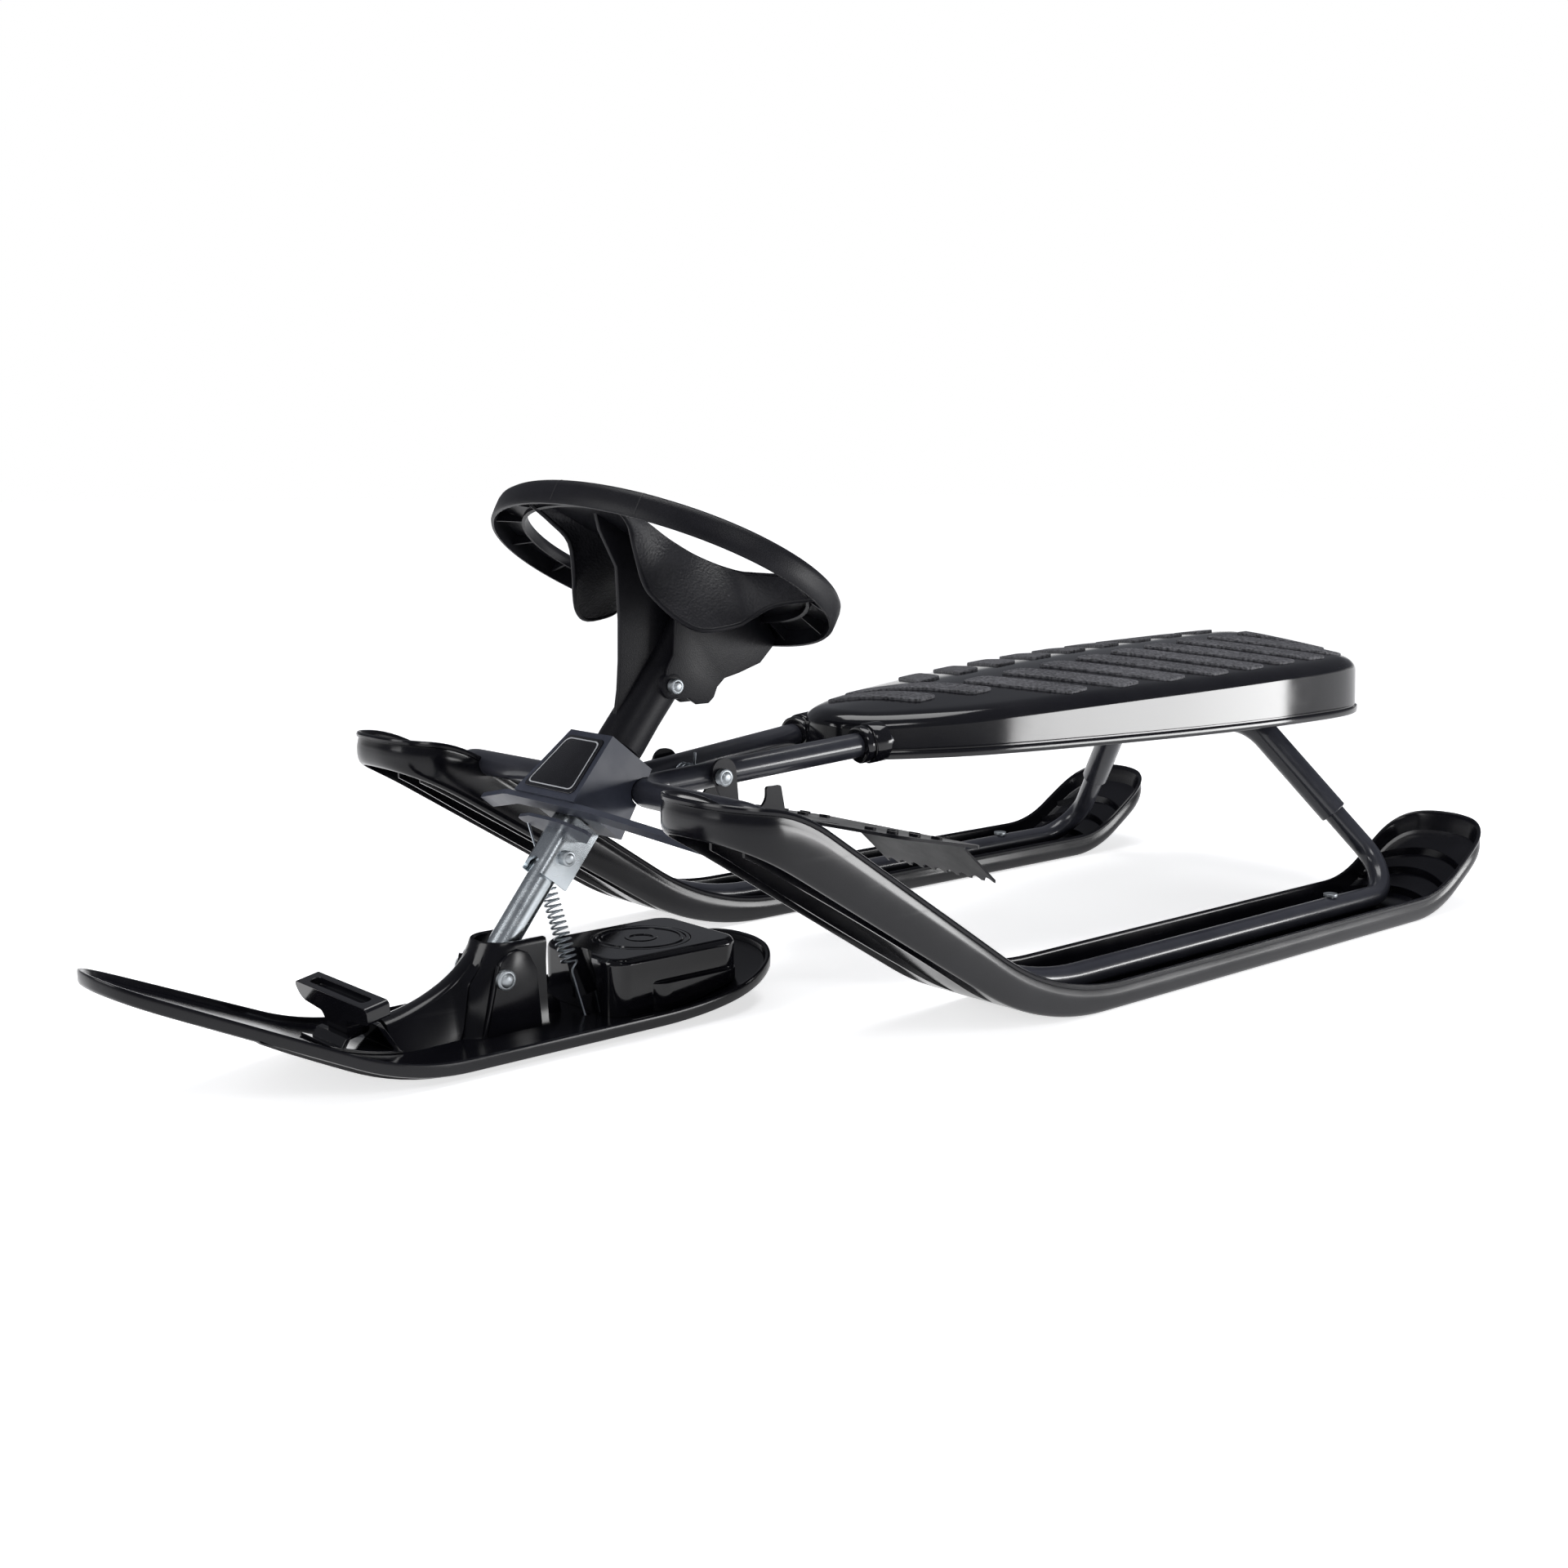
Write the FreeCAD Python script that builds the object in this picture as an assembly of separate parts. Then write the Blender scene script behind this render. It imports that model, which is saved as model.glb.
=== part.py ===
"""Steering sled: two rear skis on a bent tube frame, a seat, a steered front ski and a toothed brake.

Millimetres. X points forward, Y to the rider's left, Z up. The origin lies on the ground under the
middle of the sled.
"""
import FreeCAD
import Part
import math
import os
from FreeCAD import Vector

# Rear skis
SKI_CENTRE_Y = 191.0
SKI_WIDTH = 98.0
SKI_TAIL_X = -595.0
SKI_TIP_X = 318.0
SKI_WALL = 4.0
SKI_WALL_HEIGHT = 21.0
SKI_FLOOR = 4.0
SKI_BEND_X = 2.0
SKI_SLOPE_DEG = 34.0
SKI_BEND_RADIUS = 250.0
SKI_TIP_Z = 194.0
SKI_TIP_SLOPE_DEG = 7.0
SKI_TIP_RADIUS = 300.0
SKI_TIP_BAND = 20.0
SKI_SOLE_BEND_X = 18.0
SKI_SOLE_SLOPE_DEG = 32.6
SKI_SOLE_TIP_SLOPE_DEG = 19.0
SKI_TAIL_RISE = 78.0
SKI_TAIL_START_X = -502.0
SKI_TAIL_RADIUS = 110.0
SKI_PLAN_TURN = 0.96
SKI_RISER_X = 196.0
SKI_RIM = 3.0
SKI_NOTCH_MARGIN = 1.5
SKI_SOLE_RIB = 3.0
SKI_SOLE_RIBS = 3

# Frame tubes
TUBE_DIAMETER = 19.0
TUBE_WALL = 1.5
TUBE_SEAT_Y = 41.0
TUBE_SEAT_Z = 181.0
TUBE_SEAT_X = -27.0
TUBE_SEAT_RADIUS = 300.0
TUBE_END_GAP = 2.0
TUBE_END_SPREAD = 10.0
TUBE_END_RISE = 4.0
TUBE_HEAD_X = 209.0
TUBE_HEAD_Y = 15.0
TUBE_HEAD_Z = 162.0
TUBE_HEAD_RADIUS = 27.0
TUBE_CORNER_X = 230.0
TUBE_SKI_RADIUS = 34.0
TUBE_JOINT_X = -395.0
TUBE_LIFT = 0.4
ARCH_BEND_X = -521.0
ARCH_BEND_RADIUS = 36.0
ARCH_TOP_X = -452.0
ARCH_TOP_Y = 74.0
ARCH_TOP_RADIUS = 40.0
ARCH_SADDLE_WALL = 2.5
ARCH_SADDLE_LEG = 62.0
ARCH_SADDLE_CORNER = 1.2
JOINT_BOLT = 6.0
JOINT_HEAD = 2.8
JOINT_PLAY = 0.05
JOINT_SETBACK = 12.0

# Seat
SEAT_FRONT_X = 8.0
SEAT_REAR_X = -578.0
SEAT_FRONT_HALF = 54.0
SEAT_REAR_HALF = 133.0
SEAT_WIDEST_X = -470.0
SEAT_BOTTOM_Z = 166.0
SEAT_FRONT_RIDGE_Z = 200.0
SEAT_REAR_RIDGE_Z = 235.0
SEAT_CROWN = 26.0
SEAT_SKIN = 3.5
SEAT_EDGE_RADIUS = 12.0
SEAT_LIP = 2.0
SEAT_LIP_HEIGHT = 5.0
SEAT_SIDE_CURVE = 0.9
SEAT_RIDGE_CURVE = 0.8
SEAT_STATIONS = (0.0, 0.14, 0.32, 0.55, 0.8, 0.93, 1.0)
SEAT_NOSE_SHARE = 0.45
SEAT_CORNER_SHARE = 0.94
SEAT_TAIL_SHARE = 0.62
SEAT_END_BULGE = 6.0
SEAT_ROOF_STATIONS = (-0.05, 0.1, 0.35, 0.65, 0.9, 1.05)
SEAT_ROOF_MARGIN = 20.0
SEAT_TAIL_DROP = 14.0
SEAT_TAIL_DROP_FROM = 0.9
SEAT_TAIL_DROP_SPAN = 0.15
SEAT_ROOF_FOOT = 100.0
SEAT_FILLET_REACH = 60.0
PAD_COUNT = 10
PAD_HEIGHT = 1.6
PAD_SEAT = 0.3
PAD_FIRST_X = -45.0
PAD_PITCH = 53.0
PAD_LENGTH = 78.0
PAD_WIDTH = 26.0
PAD_SLANT_DEG = 36.0
PAD_SPINE = 14.0
PAD_MARGIN = 4.0
PAD_TURN = 0.3
SEAT_BLOCK = 26.0
SEAT_BLOCK_LIFT = 4.0
SEAT_BLOCK_AHEAD = 60.0
SEAT_BLOCK_SPREAD = 9.0
SEAT_BLOCK_PLAY = 1.0

# Head and steering column
COLUMN_RAKE_DEG = 38.5
COLUMN_FOOT_X = 360.0
COLUMN_DIAMETER = 20.0
COLUMN_WALL = 1.5
COLUMN_BOTTOM_Z = 33.0
COLUMN_TOP_Z = 248.0
BUSH_WALL = 3.2
BUSH_BODY = 8.0
BUSH_SEAT = 0.1
BUSH_CLEARANCE = 0.05
BUSH_FLANGE = 2.0
BUSH_FLANGE_WALL = 1.2
HEAD_Z = 165.5
HEAD_HALF_LENGTH = 28.5
HEAD_FRONT = 25.5
HEAD_FLARE = 8.0
HEAD_BACK = 17.0
HEAD_TOP_HALF = 25.0
HEAD_LOW_HALF = 36.0
HEAD_SHEET = 2.2
LABEL_INSET = 5.0
LABEL_THICKNESS = 1.0
LABEL_TURN = 4.0
WING_SHEET = 2.5
WING_GAP = 11.0
WING_FRONT = 24.0
WING_FRONT_HALF = 17.0
WING_TIP = 14.0
WING_HALF = 47.0
WING_BACK = 4.0
WING_BACK_HALF = 21.0
WING_TURNS = (6, 6, 5, 4, 4, 5)
CLEVIS_GAP = 1.0
CLEVIS_BACK = 15.0
CLEVIS_PLAY = 0.3
CLEVIS_LENGTH = 46.0
CLEVIS_SHEET = 2.5
CLEVIS_BOLT = 6.0
CLEVIS_BOLT_SHARE = 0.6
CLEVIS_FOLD = 7.0
CLEVIS_ARCH_FROM = 3.0
CLEVIS_ARCH_TO = 40.0
BOLT_HEAD = 5.0
BOLT_HEAD_SHARE = 1.8
BOLT_PLAY = 0.1
BOLT_SEAT = 0.2

# Steering wheel
WHEEL_X = 163.0
WHEEL_Z = 326.0
WHEEL_TILT_DEG = 29.0
WHEEL_HALF_LENGTH = 112.0
WHEEL_HALF_WIDTH = 152.0
RIM_DEPTH = 19.0
RIM_BAND = 24.0
RIM_WALL = 3.5
RIM_ROOF = 5.0
RIM_INNER_DEPTH = 10.0
RIM_EDGE = 4.0
DECK_DEPTH = 2.0
DECK_SHEET = 4.0
HAND_GAP = ((96, 46), (20, 36), (-17, 58), (-17, 150), (96, 150))
HAND_GAP_TURNS = (4, 50, 18, 4, 4)
SKIRT_TOP = ((92, 43), (70, 41), (48, 39), (30, 36), (14, 36), (-2, 41), (-13, 52), (-19, 66), (-19, 82),
             (-19, 128))
SKIRT_FOOT = ((87, 55, -18), (68, 54, -26), (51, 60, -45), (40, 66, -53), (18, 70, -57), (0, 73, -55),
              (-24, 75, -40), (-31, 78, -29), (-36, 92, -17), (-42, 122, -8))
SKIRT_SHEET = 5.0
SKIRT_BACK = (-0.75, -0.66, 0.0)
HUB_DIAMETER = 35.0
HUB_BOTTOM_Z = 190.0
HUB_TOP_MARGIN = 4.0
HUB_CLEARANCE = 0.3
WHEEL_BOLT_Z = 234.0
WEB = 4.0
WEB_SPREAD = 18.0
WEB_REAR = ((74, 257), (92, 243), (115, 238), (131, 233), (136, 223), (157, 222))
WEB_FRONT = ((212, 215), (209, 226), (207, 252), (206, 281), (205, 318))
WEB_TOP_REACH = 92.0

# Front ski
FRONT_TIP_X = 594.8
FRONT_TAIL_X = 92.0
FRONT_HALF_WIDTH = 71.0
FRONT_NOSE_HALF = 38.0
FRONT_TAPER_X = 440.0
FRONT_PLAN_TURN = 0.9
FRONT_BEND_X = 418.0
FRONT_SLOPE_DEG = 24.5
FRONT_BEND_RADIUS = 190.0
FRONT_SOLE_Z = 5.0
FRONT_PLATE = 4.0
FRONT_RIM_HEIGHT = 9.5
FRONT_RIM_WALL = 4.0
FRONT_TAIL_RISE = 24.0
FRONT_TAIL_START_X = 195.0
FRONT_TAIL_RADIUS = 260.0
KEEL_COUNT = 5
KEEL_WIDTH = 7.0
KEEL_SPACING = 24.0
PIVOT_Z = 47.0
PIVOT_BOLT = 8.0
BOSS_HALF = 22.0
BOSS_SLOT_HALF = 11.5
BOSS_TOP_Z = 68.0
BOSS_REAR_X = 276.0
BOSS_FRONT_X = 352.0
BOSS_REAR_LEAN = 8.0
BOSS_CROWN_REAR = 18.0
BOSS_CROWN_FRONT = 22.0
BOSS_CROWN_RISE = 4.0
BOSS_NOSE_DROP = 22.0
BOSS_TURNS = (0, 10, 8, 6, 30, 0)
BOSS_SLOT_PLAY = 5.0
SPINE_FRONT_X = 396.0
SPINE_HALF = 13.0
SPINE_Z = 22.0
SPINE_SHOULDER = (6.0, 10.0)
SPINE_FOOT = (30.0, 6.0)
SPINE_DROP = 3.0
SPINE_TURNS = (0, 6, 20, 30, 3, 0)
SPRING_DIAMETER = 12.5
SPRING_WIRE = 1.6
SPRING_TURNS = 16
SPRING_LENGTH = 66.0
SPRING_X = 254.0
SPRING_LOW_Y = 20.0
SPRING_HIGH_Y = -38.0
SPRING_AHEAD = 10.0
SPRING_SINK = 2.0
SPRING_PLAY = 0.7
SPRING_FOOT_PLAY = 1.1
SPRING_FOOT_FLOOR = 0.5
COIL_STEPS = 2
COIL_LEAD = 0.7

# Cord winder and its pull handle
WINDER_X = 190.0
WINDER_HALF_LENGTH = 58.0
WINDER_HALF_WIDTH = 46.0
WINDER_TOP_Z = 50.0
WINDER_SKIN = 2.5
WINDER_CORNER = 16.0
WINDER_EDGE = 5.0
WINDER_STEP = 6.0
WINDER_STEP_Z = 20.0
WINDER_STEP_REAR = 4.0
WINDER_STEP_FRONT = 30.0
WINDER_LEDGE = 4.0
WINDER_OUTLET = 8.0
WINDER_OUTLET_Z = 6.0
LID_PLAY = 0.3
LID_RADIUS = 36.0
LID_THICKNESS = 2.5
REEL_RADIUS = 32.0
REEL_CORE = 18.0
REEL_HEIGHT = 22.0
REEL_LIFT = 10.0
REEL_FLANGE = 2.0
REEL_FLOOR = 3.0
RECOIL_HALF_TURNS = 8
RECOIL_STRIP = 0.6
RECOIL_PLAY = 0.3
RECOIL_START = 1.6
RECOIL_LIFT = 4.0
REEL_WALL = 2.5
AXLE_RADIUS = 4.0
AXLE_CLEARANCE = 0.05
AXLE_COLLAR = 3.0
AXLE_SEAT = 0.2
HANDLE_X = 424.0
HANDLE_HALF = 48.0
HANDLE_DEPTH = 17.0
HANDLE_BAR = 12.0
HANDLE_TOP_Z = 55.0
HANDLE_LEAN_DEG = 12.0
STEM_FOOT_Z = 22.0
STEM_HALF = 8.0
STEM_SHOULDER = (17.0, 3.0)
HANDLE_END_LEAN = 3.0
HANDLE_TURNS = (3, 3, 3, 12, 3, 3, 12, 3)
RECESS_HALF = 4.0
RECESS_END = 12.0
RECESS_DEPTH = 5.0
RECESS_TURN = 3.9
HOLDER_HALF = 20.0
HOLDER_SHEET = 4.0
HOLDER_CLEARANCE = 0.4
HOLDER_FLOOR = 2.5
HOLDER_REACH = 26.0
HOLDER_SPLAY = 14.0
HOLDER_GRIP = 9.0

# Brake
BRAKE_PIVOT_X = 143.0
BRAKE_BOLT = 7.0
BRAKE_EAR_GAP = 1.0
BRAKE_SHEET = 2.5
BRAKE_EAR_WIDTH = 26.0
BRAKE_NECK_X = 72.0
BRAKE_NECK_Z = 128.0
BRAKE_HEEL_X = -78.0
BRAKE_HEEL_Z = 96.0
BRAKE_TIP_X = -122.0
BRAKE_TIP_Z = 58.0
BRAKE_PEDAL_HALF = 96.0
BRAKE_BLADE_HALF = 62.0
BRAKE_NECK_REACH = 34.0
BRAKE_NECK_RISE = 10.0
BRAKE_FOLDS = (0, 40, 14, 0)
BRAKE_SHOULDER = (-22.0, -52.0)
BRAKE_PEDAL_REAR = 8.0
BRAKE_BLADE_FRONT = -4.0
BRAKE_TIP_MARGIN = 10.0
BRAKE_PLAN_TURNS = (0, 16, 22, 16, 8, 0)
BRAKE_SLOT = ((12, 24), (-50, 34), (-50, 26), (12, 16))
BRAKE_SLOT_TURN = 3.9
BRAKE_EAR_PLAY = 0.6
EAR_HOOK = (4.0, 30.0, 44.0)
EAR_GAP_RISE = 12.0
EAR_TURNS = (9.1, 10.4, 10, 10, 2, 2, 6, 10)
TOOTH_REACH = (20.0, 30.0)
TOOTH_DROP = 3.0
TOOTH_SHARE = 0.72
TOOTH_COUNT = 9
DIMPLE_RADIUS = 4.5
DIMPLE_HEIGHT = 2.0
DIMPLE_FIRST_X = 10.0
DIMPLE_PITCH = 24.0
DIMPLE_MARGIN = 20.0
DIMPLE_ROOT = 1.0
TORSION_WIRE = 2.0
TORSION_TURNS = 4
TORSION_LEG = 16.0
TORSION_PLAY = 0.6
TORSION_END_GAP = 3.0

# Head brace
STRAP_WIDTH = 14.0
STRAP_SHEET = 4.0
STRAP_SEAT = 0.35
STRAP_AHEAD = 25.0
STRAP_BEND_Y = 46.0
STRAP_BEND_RADIUS = 40.0
STRAP_END_X = 232.0
STRAP_REACH = 134.0
STRAP_END_Z = 139.0

# Cutting prisms
TALL = 300.0
BELOW = -1.0
ASIDE = 20.0

RAKE = math.radians(COLUMN_RAKE_DEG)
COLUMN_AXIS = Vector(-math.sin(RAKE), 0, math.cos(RAKE))
COLUMN_FRONT = Vector(math.cos(RAKE), 0, math.sin(RAKE))
SIDE = Vector(0, 1, 0)
UP = Vector(0, 0, 1)
TUBE_RADIUS = TUBE_DIAMETER / 2
RUNNER_Z = SKI_FLOOR + TUBE_RADIUS + TUBE_LIFT


def column_point(z):
    """Gives the point of the column's axis at a height."""
    return Vector(COLUMN_FOOT_X - z * math.tan(RAKE), 0, z)


PIVOT_X = column_point(PIVOT_Z).x


def mirrored(shape):
    """Gives the same shape on the rider's right."""
    return shape.mirror(Vector(0, 0, 0), SIDE)


def fused(shapes):
    """Joins touching shapes into one clean solid."""
    return shapes[0].multiFuse(shapes[1:]).removeSplitter()


def rounded_wire(points, radii, closed=False):
    """Joins points by straight runs, with a tangent arc of the given radius at each corner."""
    count = len(points)
    edges = []
    ends = {}
    for i in range(count):
        before = points[i - 1]
        after = points[(i + 1) % count]
        here = points[i]
        inner = closed or 0 < i < count - 1
        radius = radii[i] if inner else 0
        if radius <= 0:
            ends[i] = (here, here, None)
            continue
        back = (before - here).normalize()
        ahead = (after - here).normalize()
        turn = math.pi - back.getAngle(ahead)
        reach = radius * math.tan(turn / 2)
        start = here + back * reach
        end = here + ahead * reach
        centre_line = (back + ahead).normalize()
        mid = here + centre_line * (radius / math.cos(turn / 2) - radius)
        ends[i] = (start, end, mid)
    last = count if closed else count - 1
    for i in range(count):
        start, end, mid = ends[i]
        if mid is not None:
            edges.append(Part.Arc(start, mid, end).toShape())
        if i < last:
            following = ends[(i + 1) % count][0]
            if end.distanceToPoint(following) > 1e-6:
                edges.append(Part.LineSegment(end, following).toShape())
    return Part.Wire(edges)


def swept_round(path, start, direction, diameter):
    """Sweeps a round section of the given diameter along a wire."""
    circle = Part.Wire([Part.Circle(start, direction, diameter / 2).toShape()])
    return path.makePipeShell([circle], True, False)


def bent_tube(points, radii, diameter, wall):
    """Makes a round tube with its bore along straight runs and bends."""
    path = rounded_wire(points, radii)
    direction = points[1] - points[0]
    outer = swept_round(path, points[0], direction, diameter)
    bore = swept_round(path, points[0], direction, diameter - 2 * wall)
    return outer.cut(bore)


def plate_from(points, direction, radii=None):
    """Extrudes a closed outline with rounded corners."""
    wire = rounded_wire(points, radii or [0] * len(points), closed=True)
    return Part.Face(wire).extrude(direction)


def rod(start, end, diameter):
    """Makes a plain round rod between two points."""
    along = end - start
    return Part.makeCylinder(diameter / 2, along.Length, start, along)


def ring(start, end, outer, inner):
    """Makes a round sleeve between two points."""
    return rod(start, end, outer).cut(rod(start, end, inner))


def cross_bolt(x, z, half_length, diameter, head):
    """Makes a bolt across the sled with a domed head and a nut."""
    shank = rod(Vector(x, -half_length, z), Vector(x, half_length, z), diameter)
    wide = diameter * BOLT_HEAD_SHARE
    cap = rod(Vector(x, half_length, z), Vector(x, half_length + head, z), wide)
    nut = hexagon(x, z, -half_length - head, wide, head)
    return fused([shank, cap, nut])


def hexagon(x, z, y, across, height):
    """Makes a hexagon prism that points to the rider's left."""
    corners = []
    for k in range(6):
        angle = math.radians(60 * k)
        corner = Vector(x + across / 2 * math.cos(angle), y, z + across / 2 * math.sin(angle))
        corners.append(corner)
    return plate_from(corners, SIDE * height)


def slope_corner(x, z, degrees, at_x):
    """Gives the height at a place on a line that starts at a point with a slope."""
    return z + (at_x - x) * math.tan(math.radians(degrees))


def meeting_x(x1, z1, deg1, x2, z2, deg2):
    """Gives where two sloped lines cross."""
    a = math.tan(math.radians(deg1))
    b = math.tan(math.radians(deg2))
    return (z2 - z1 + a * x1 - b * x2) / (a - b)


def ski_edge(height_at_flat, bend_x, slope, tip_z, tip_slope, bend_radius, tip_radius):
    """Gives the corner points and radii of a side curve of the rear ski from the tail start to the tip."""
    crest_x = meeting_x(bend_x, height_at_flat, slope, SKI_TIP_X, tip_z, tip_slope)
    crest_z = slope_corner(bend_x, height_at_flat, slope, crest_x)
    flat = [(SKI_TAIL_START_X, height_at_flat), (bend_x, height_at_flat)]
    return flat + [(crest_x, crest_z), (SKI_TIP_X, tip_z)], [0, bend_radius, tip_radius, 0]


def side_band(upper, lower, y_from, y_to):
    """Fills the space between two side curves, each with radii, from one side plane to another."""
    top = rounded_wire([Vector(x, y_from, z) for x, z in upper[0]], upper[1])
    low = rounded_wire([Vector(x, y_from, z) for x, z in lower[0]], lower[1])
    ends = [Vector(x, y_from, z) for x, z in (upper[0][0], lower[0][0], upper[0][-1], lower[0][-1])]
    rear = Part.LineSegment(ends[0], ends[1]).toShape()
    front = Part.LineSegment(ends[2], ends[3]).toShape()
    wire = Part.Wire(Part.__sortEdges__(top.Edges + low.Edges + [rear, front]))
    return Part.Face(wire).extrude(Vector(0, y_to - y_from, 0))


def ski_curves():
    """Gives the wall top, wall foot, floor top and floor foot curves of the rear ski."""
    top = ski_edge(SKI_WALL_HEIGHT, SKI_BEND_X, SKI_SLOPE_DEG, SKI_TIP_Z, SKI_TIP_SLOPE_DEG,
                   SKI_BEND_RADIUS, SKI_TIP_RADIUS)
    foot = ski_edge(0, SKI_SOLE_BEND_X, SKI_SOLE_SLOPE_DEG, SKI_TIP_Z - SKI_TIP_BAND,
                    SKI_SOLE_TIP_SLOPE_DEG, SKI_BEND_RADIUS, SKI_TIP_RADIUS)
    return top, foot


def lowered(curve, depth):
    """Moves a side curve down along the slope's normal, keeping the slopes."""
    points, radii = curve
    flat_z = points[0][1] - depth
    drop = depth / math.cos(math.radians(SKI_SLOPE_DEG))
    tip_drop = depth / math.cos(math.radians(SKI_TIP_SLOPE_DEG))
    bend_x = points[1][0] + (drop - depth) / math.tan(math.radians(SKI_SLOPE_DEG))
    tip_z = points[3][1] - tip_drop
    crest_x = meeting_x(bend_x, flat_z, SKI_SLOPE_DEG, SKI_TIP_X, tip_z, SKI_TIP_SLOPE_DEG)
    crest_z = slope_corner(bend_x, flat_z, SKI_SLOPE_DEG, crest_x)
    moved = [(points[0][0], flat_z), (bend_x, flat_z), (crest_x, crest_z), (SKI_TIP_X, tip_z)]
    return moved, [0, radii[1] + depth, radii[2] - depth, 0]


def ski_plan(inset):
    """Gives the ski's outline from above as a tall prism, drawn in by an inset."""
    half = SKI_WIDTH / 2 - inset
    tail = SKI_TAIL_X + inset
    tip = SKI_TIP_X - inset
    near = SKI_CENTRE_Y + half
    far = SKI_CENTRE_Y - half
    corners = [Vector(tail, far, BELOW), Vector(tip, far, BELOW), Vector(tip, near, BELOW),
               Vector(tail, near, BELOW)]
    return plate_from(corners, UP * TALL, [half * SKI_PLAN_TURN] * 4)


def rear_ski():
    """Makes the left rear ski: a channel with an upturned tail and a raised hollow foot rest."""
    top, foot = ski_curves()
    depth = SKI_WALL_HEIGHT - SKI_FLOOR
    y_from = SKI_CENTRE_Y - SKI_WIDTH / 2
    y_to = SKI_CENTRE_Y + SKI_WIDTH / 2
    outline = ski_plan(0)
    inside = ski_plan(SKI_WALL)
    body = side_band(top, foot, y_from, y_to)
    channel_floor = side_band(lowered(top, depth), lowered(top, depth + SKI_FLOOR), y_from, y_to)
    tip_plate = side_band(lowered(top, SKI_RIM), lowered(top, SKI_RIM + SKI_FLOOR), y_from, y_to)
    corner = Vector(SKI_RISER_X, y_from - ASIDE, BELOW)
    front_space = Part.makeBox(TALL, 2 * SKI_WIDTH, TALL, corner)
    riser_space = Part.makeBox(SKI_FLOOR, 2 * SKI_WIDTH, TALL, corner)
    walls = body.cut(inside)
    floor = channel_floor.cut(front_space)
    plate = tip_plate.common(front_space)
    riser_zone = side_band(lowered(top, SKI_RIM), lowered(top, depth + SKI_FLOOR), y_from, y_to)
    riser = riser_zone.common(riser_space)
    ribs = [side_band(lowered(top, depth), foot, y, y + SKI_SOLE_RIB).cut(front_space) for y in rib_places()]
    whole = fused([walls, floor, plate, riser] + ribs).common(outline)
    tail = ski_tail_part(outline, inside)
    ski = fused([whole, tail])
    return ski.cut(tube_room())


def rib_places():
    """Gives where the long ribs under the ski start across its width."""
    spacing = SKI_WIDTH / (SKI_SOLE_RIBS + 1)
    first = SKI_CENTRE_Y - SKI_WIDTH / 2
    return [first + spacing * (k + 1) - SKI_SOLE_RIB / 2 for k in range(SKI_SOLE_RIBS)]


def ski_tail_part(outline, inside):
    """Makes the rounded tail dish with its rim."""
    centre = Vector(SKI_TAIL_START_X, SKI_CENTRE_Y - SKI_WIDTH, SKI_TAIL_RADIUS)
    dish_cut = Part.makeCylinder(SKI_TAIL_RADIUS - SKI_FLOOR, 2 * SKI_WIDTH, centre, SIDE)
    sole_cut = Part.makeCylinder(SKI_TAIL_RADIUS, 2 * SKI_WIDTH, centre, SIDE)
    rim_centre = centre + UP * SKI_WALL_HEIGHT
    rim_cut = Part.makeCylinder(SKI_TAIL_RADIUS, 2 * SKI_WIDTH, rim_centre, SIDE)
    block = Part.makeBox(SKI_TAIL_START_X - SKI_TAIL_X, SKI_WIDTH, SKI_TAIL_RISE,
                         Vector(SKI_TAIL_X, SKI_CENTRE_Y - SKI_WIDTH / 2, 0))
    slab = block.common(sole_cut)
    wall = slab.cut(rim_cut).cut(inside)
    dish = slab.cut(dish_cut)
    return fused([wall, dish]).common(outline)


def runner_points():
    """Gives the corners of the left frame tube from the seat's rear to the joint on the ski."""
    depth = SKI_WALL_HEIGHT - RUNNER_Z
    line = lowered(ski_curves()[0], depth)[0]
    bend_x = line[1][0]
    corner_z = slope_corner(bend_x, RUNNER_Z, SKI_SLOPE_DEG, TUBE_CORNER_X)
    end_x = ARCH_TOP_X + TUBE_RADIUS + TUBE_END_GAP
    return [Vector(end_x, TUBE_SEAT_Y + TUBE_END_SPREAD, TUBE_SEAT_Z + TUBE_END_RISE),
            Vector(TUBE_SEAT_X, TUBE_SEAT_Y, TUBE_SEAT_Z),
            Vector(TUBE_HEAD_X, TUBE_HEAD_Y, TUBE_HEAD_Z),
            Vector(TUBE_CORNER_X, SKI_CENTRE_Y, corner_z),
            Vector(bend_x, SKI_CENTRE_Y, RUNNER_Z),
            Vector(TUBE_JOINT_X, SKI_CENTRE_Y, RUNNER_Z)]


def runner_radii():
    """Gives the bend radii of the left frame tube."""
    return [0, TUBE_SEAT_RADIUS, TUBE_HEAD_RADIUS, TUBE_SKI_RADIUS, SKI_BEND_RADIUS, 0]


def frame_tube():
    """Makes the left frame tube: seat, head, foot rest and ski in one bent length."""
    pivot, _ = brake_pivot()
    tube = bent_tube(runner_points(), runner_radii(), TUBE_DIAMETER, TUBE_WALL)
    return tube.cut(cross_hole(pivot.x, pivot.z, BRAKE_BOLT))


def tube_room():
    """Makes the room that the frame tube needs where it passes the ski's inner wall and riser."""
    points = runner_points()[2:5]
    path = rounded_wire(points, [0, TUBE_SKI_RADIUS, 0])
    width = TUBE_DIAMETER + 2 * SKI_NOTCH_MARGIN
    return swept_round(path, points[0], points[1] - points[0], width)


def arch_points():
    """Gives the corners of the rear arch from the left joint over the top to the right joint."""
    top_z = TUBE_SEAT_Z - TUBE_DIAMETER - TUBE_LIFT
    left = [Vector(TUBE_JOINT_X, SKI_CENTRE_Y, RUNNER_Z), Vector(ARCH_BEND_X, SKI_CENTRE_Y, RUNNER_Z),
            Vector(ARCH_TOP_X, ARCH_TOP_Y, top_z)]
    right = [Vector(p.x, -p.y, p.z) for p in reversed(left)]
    return left + right


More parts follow.
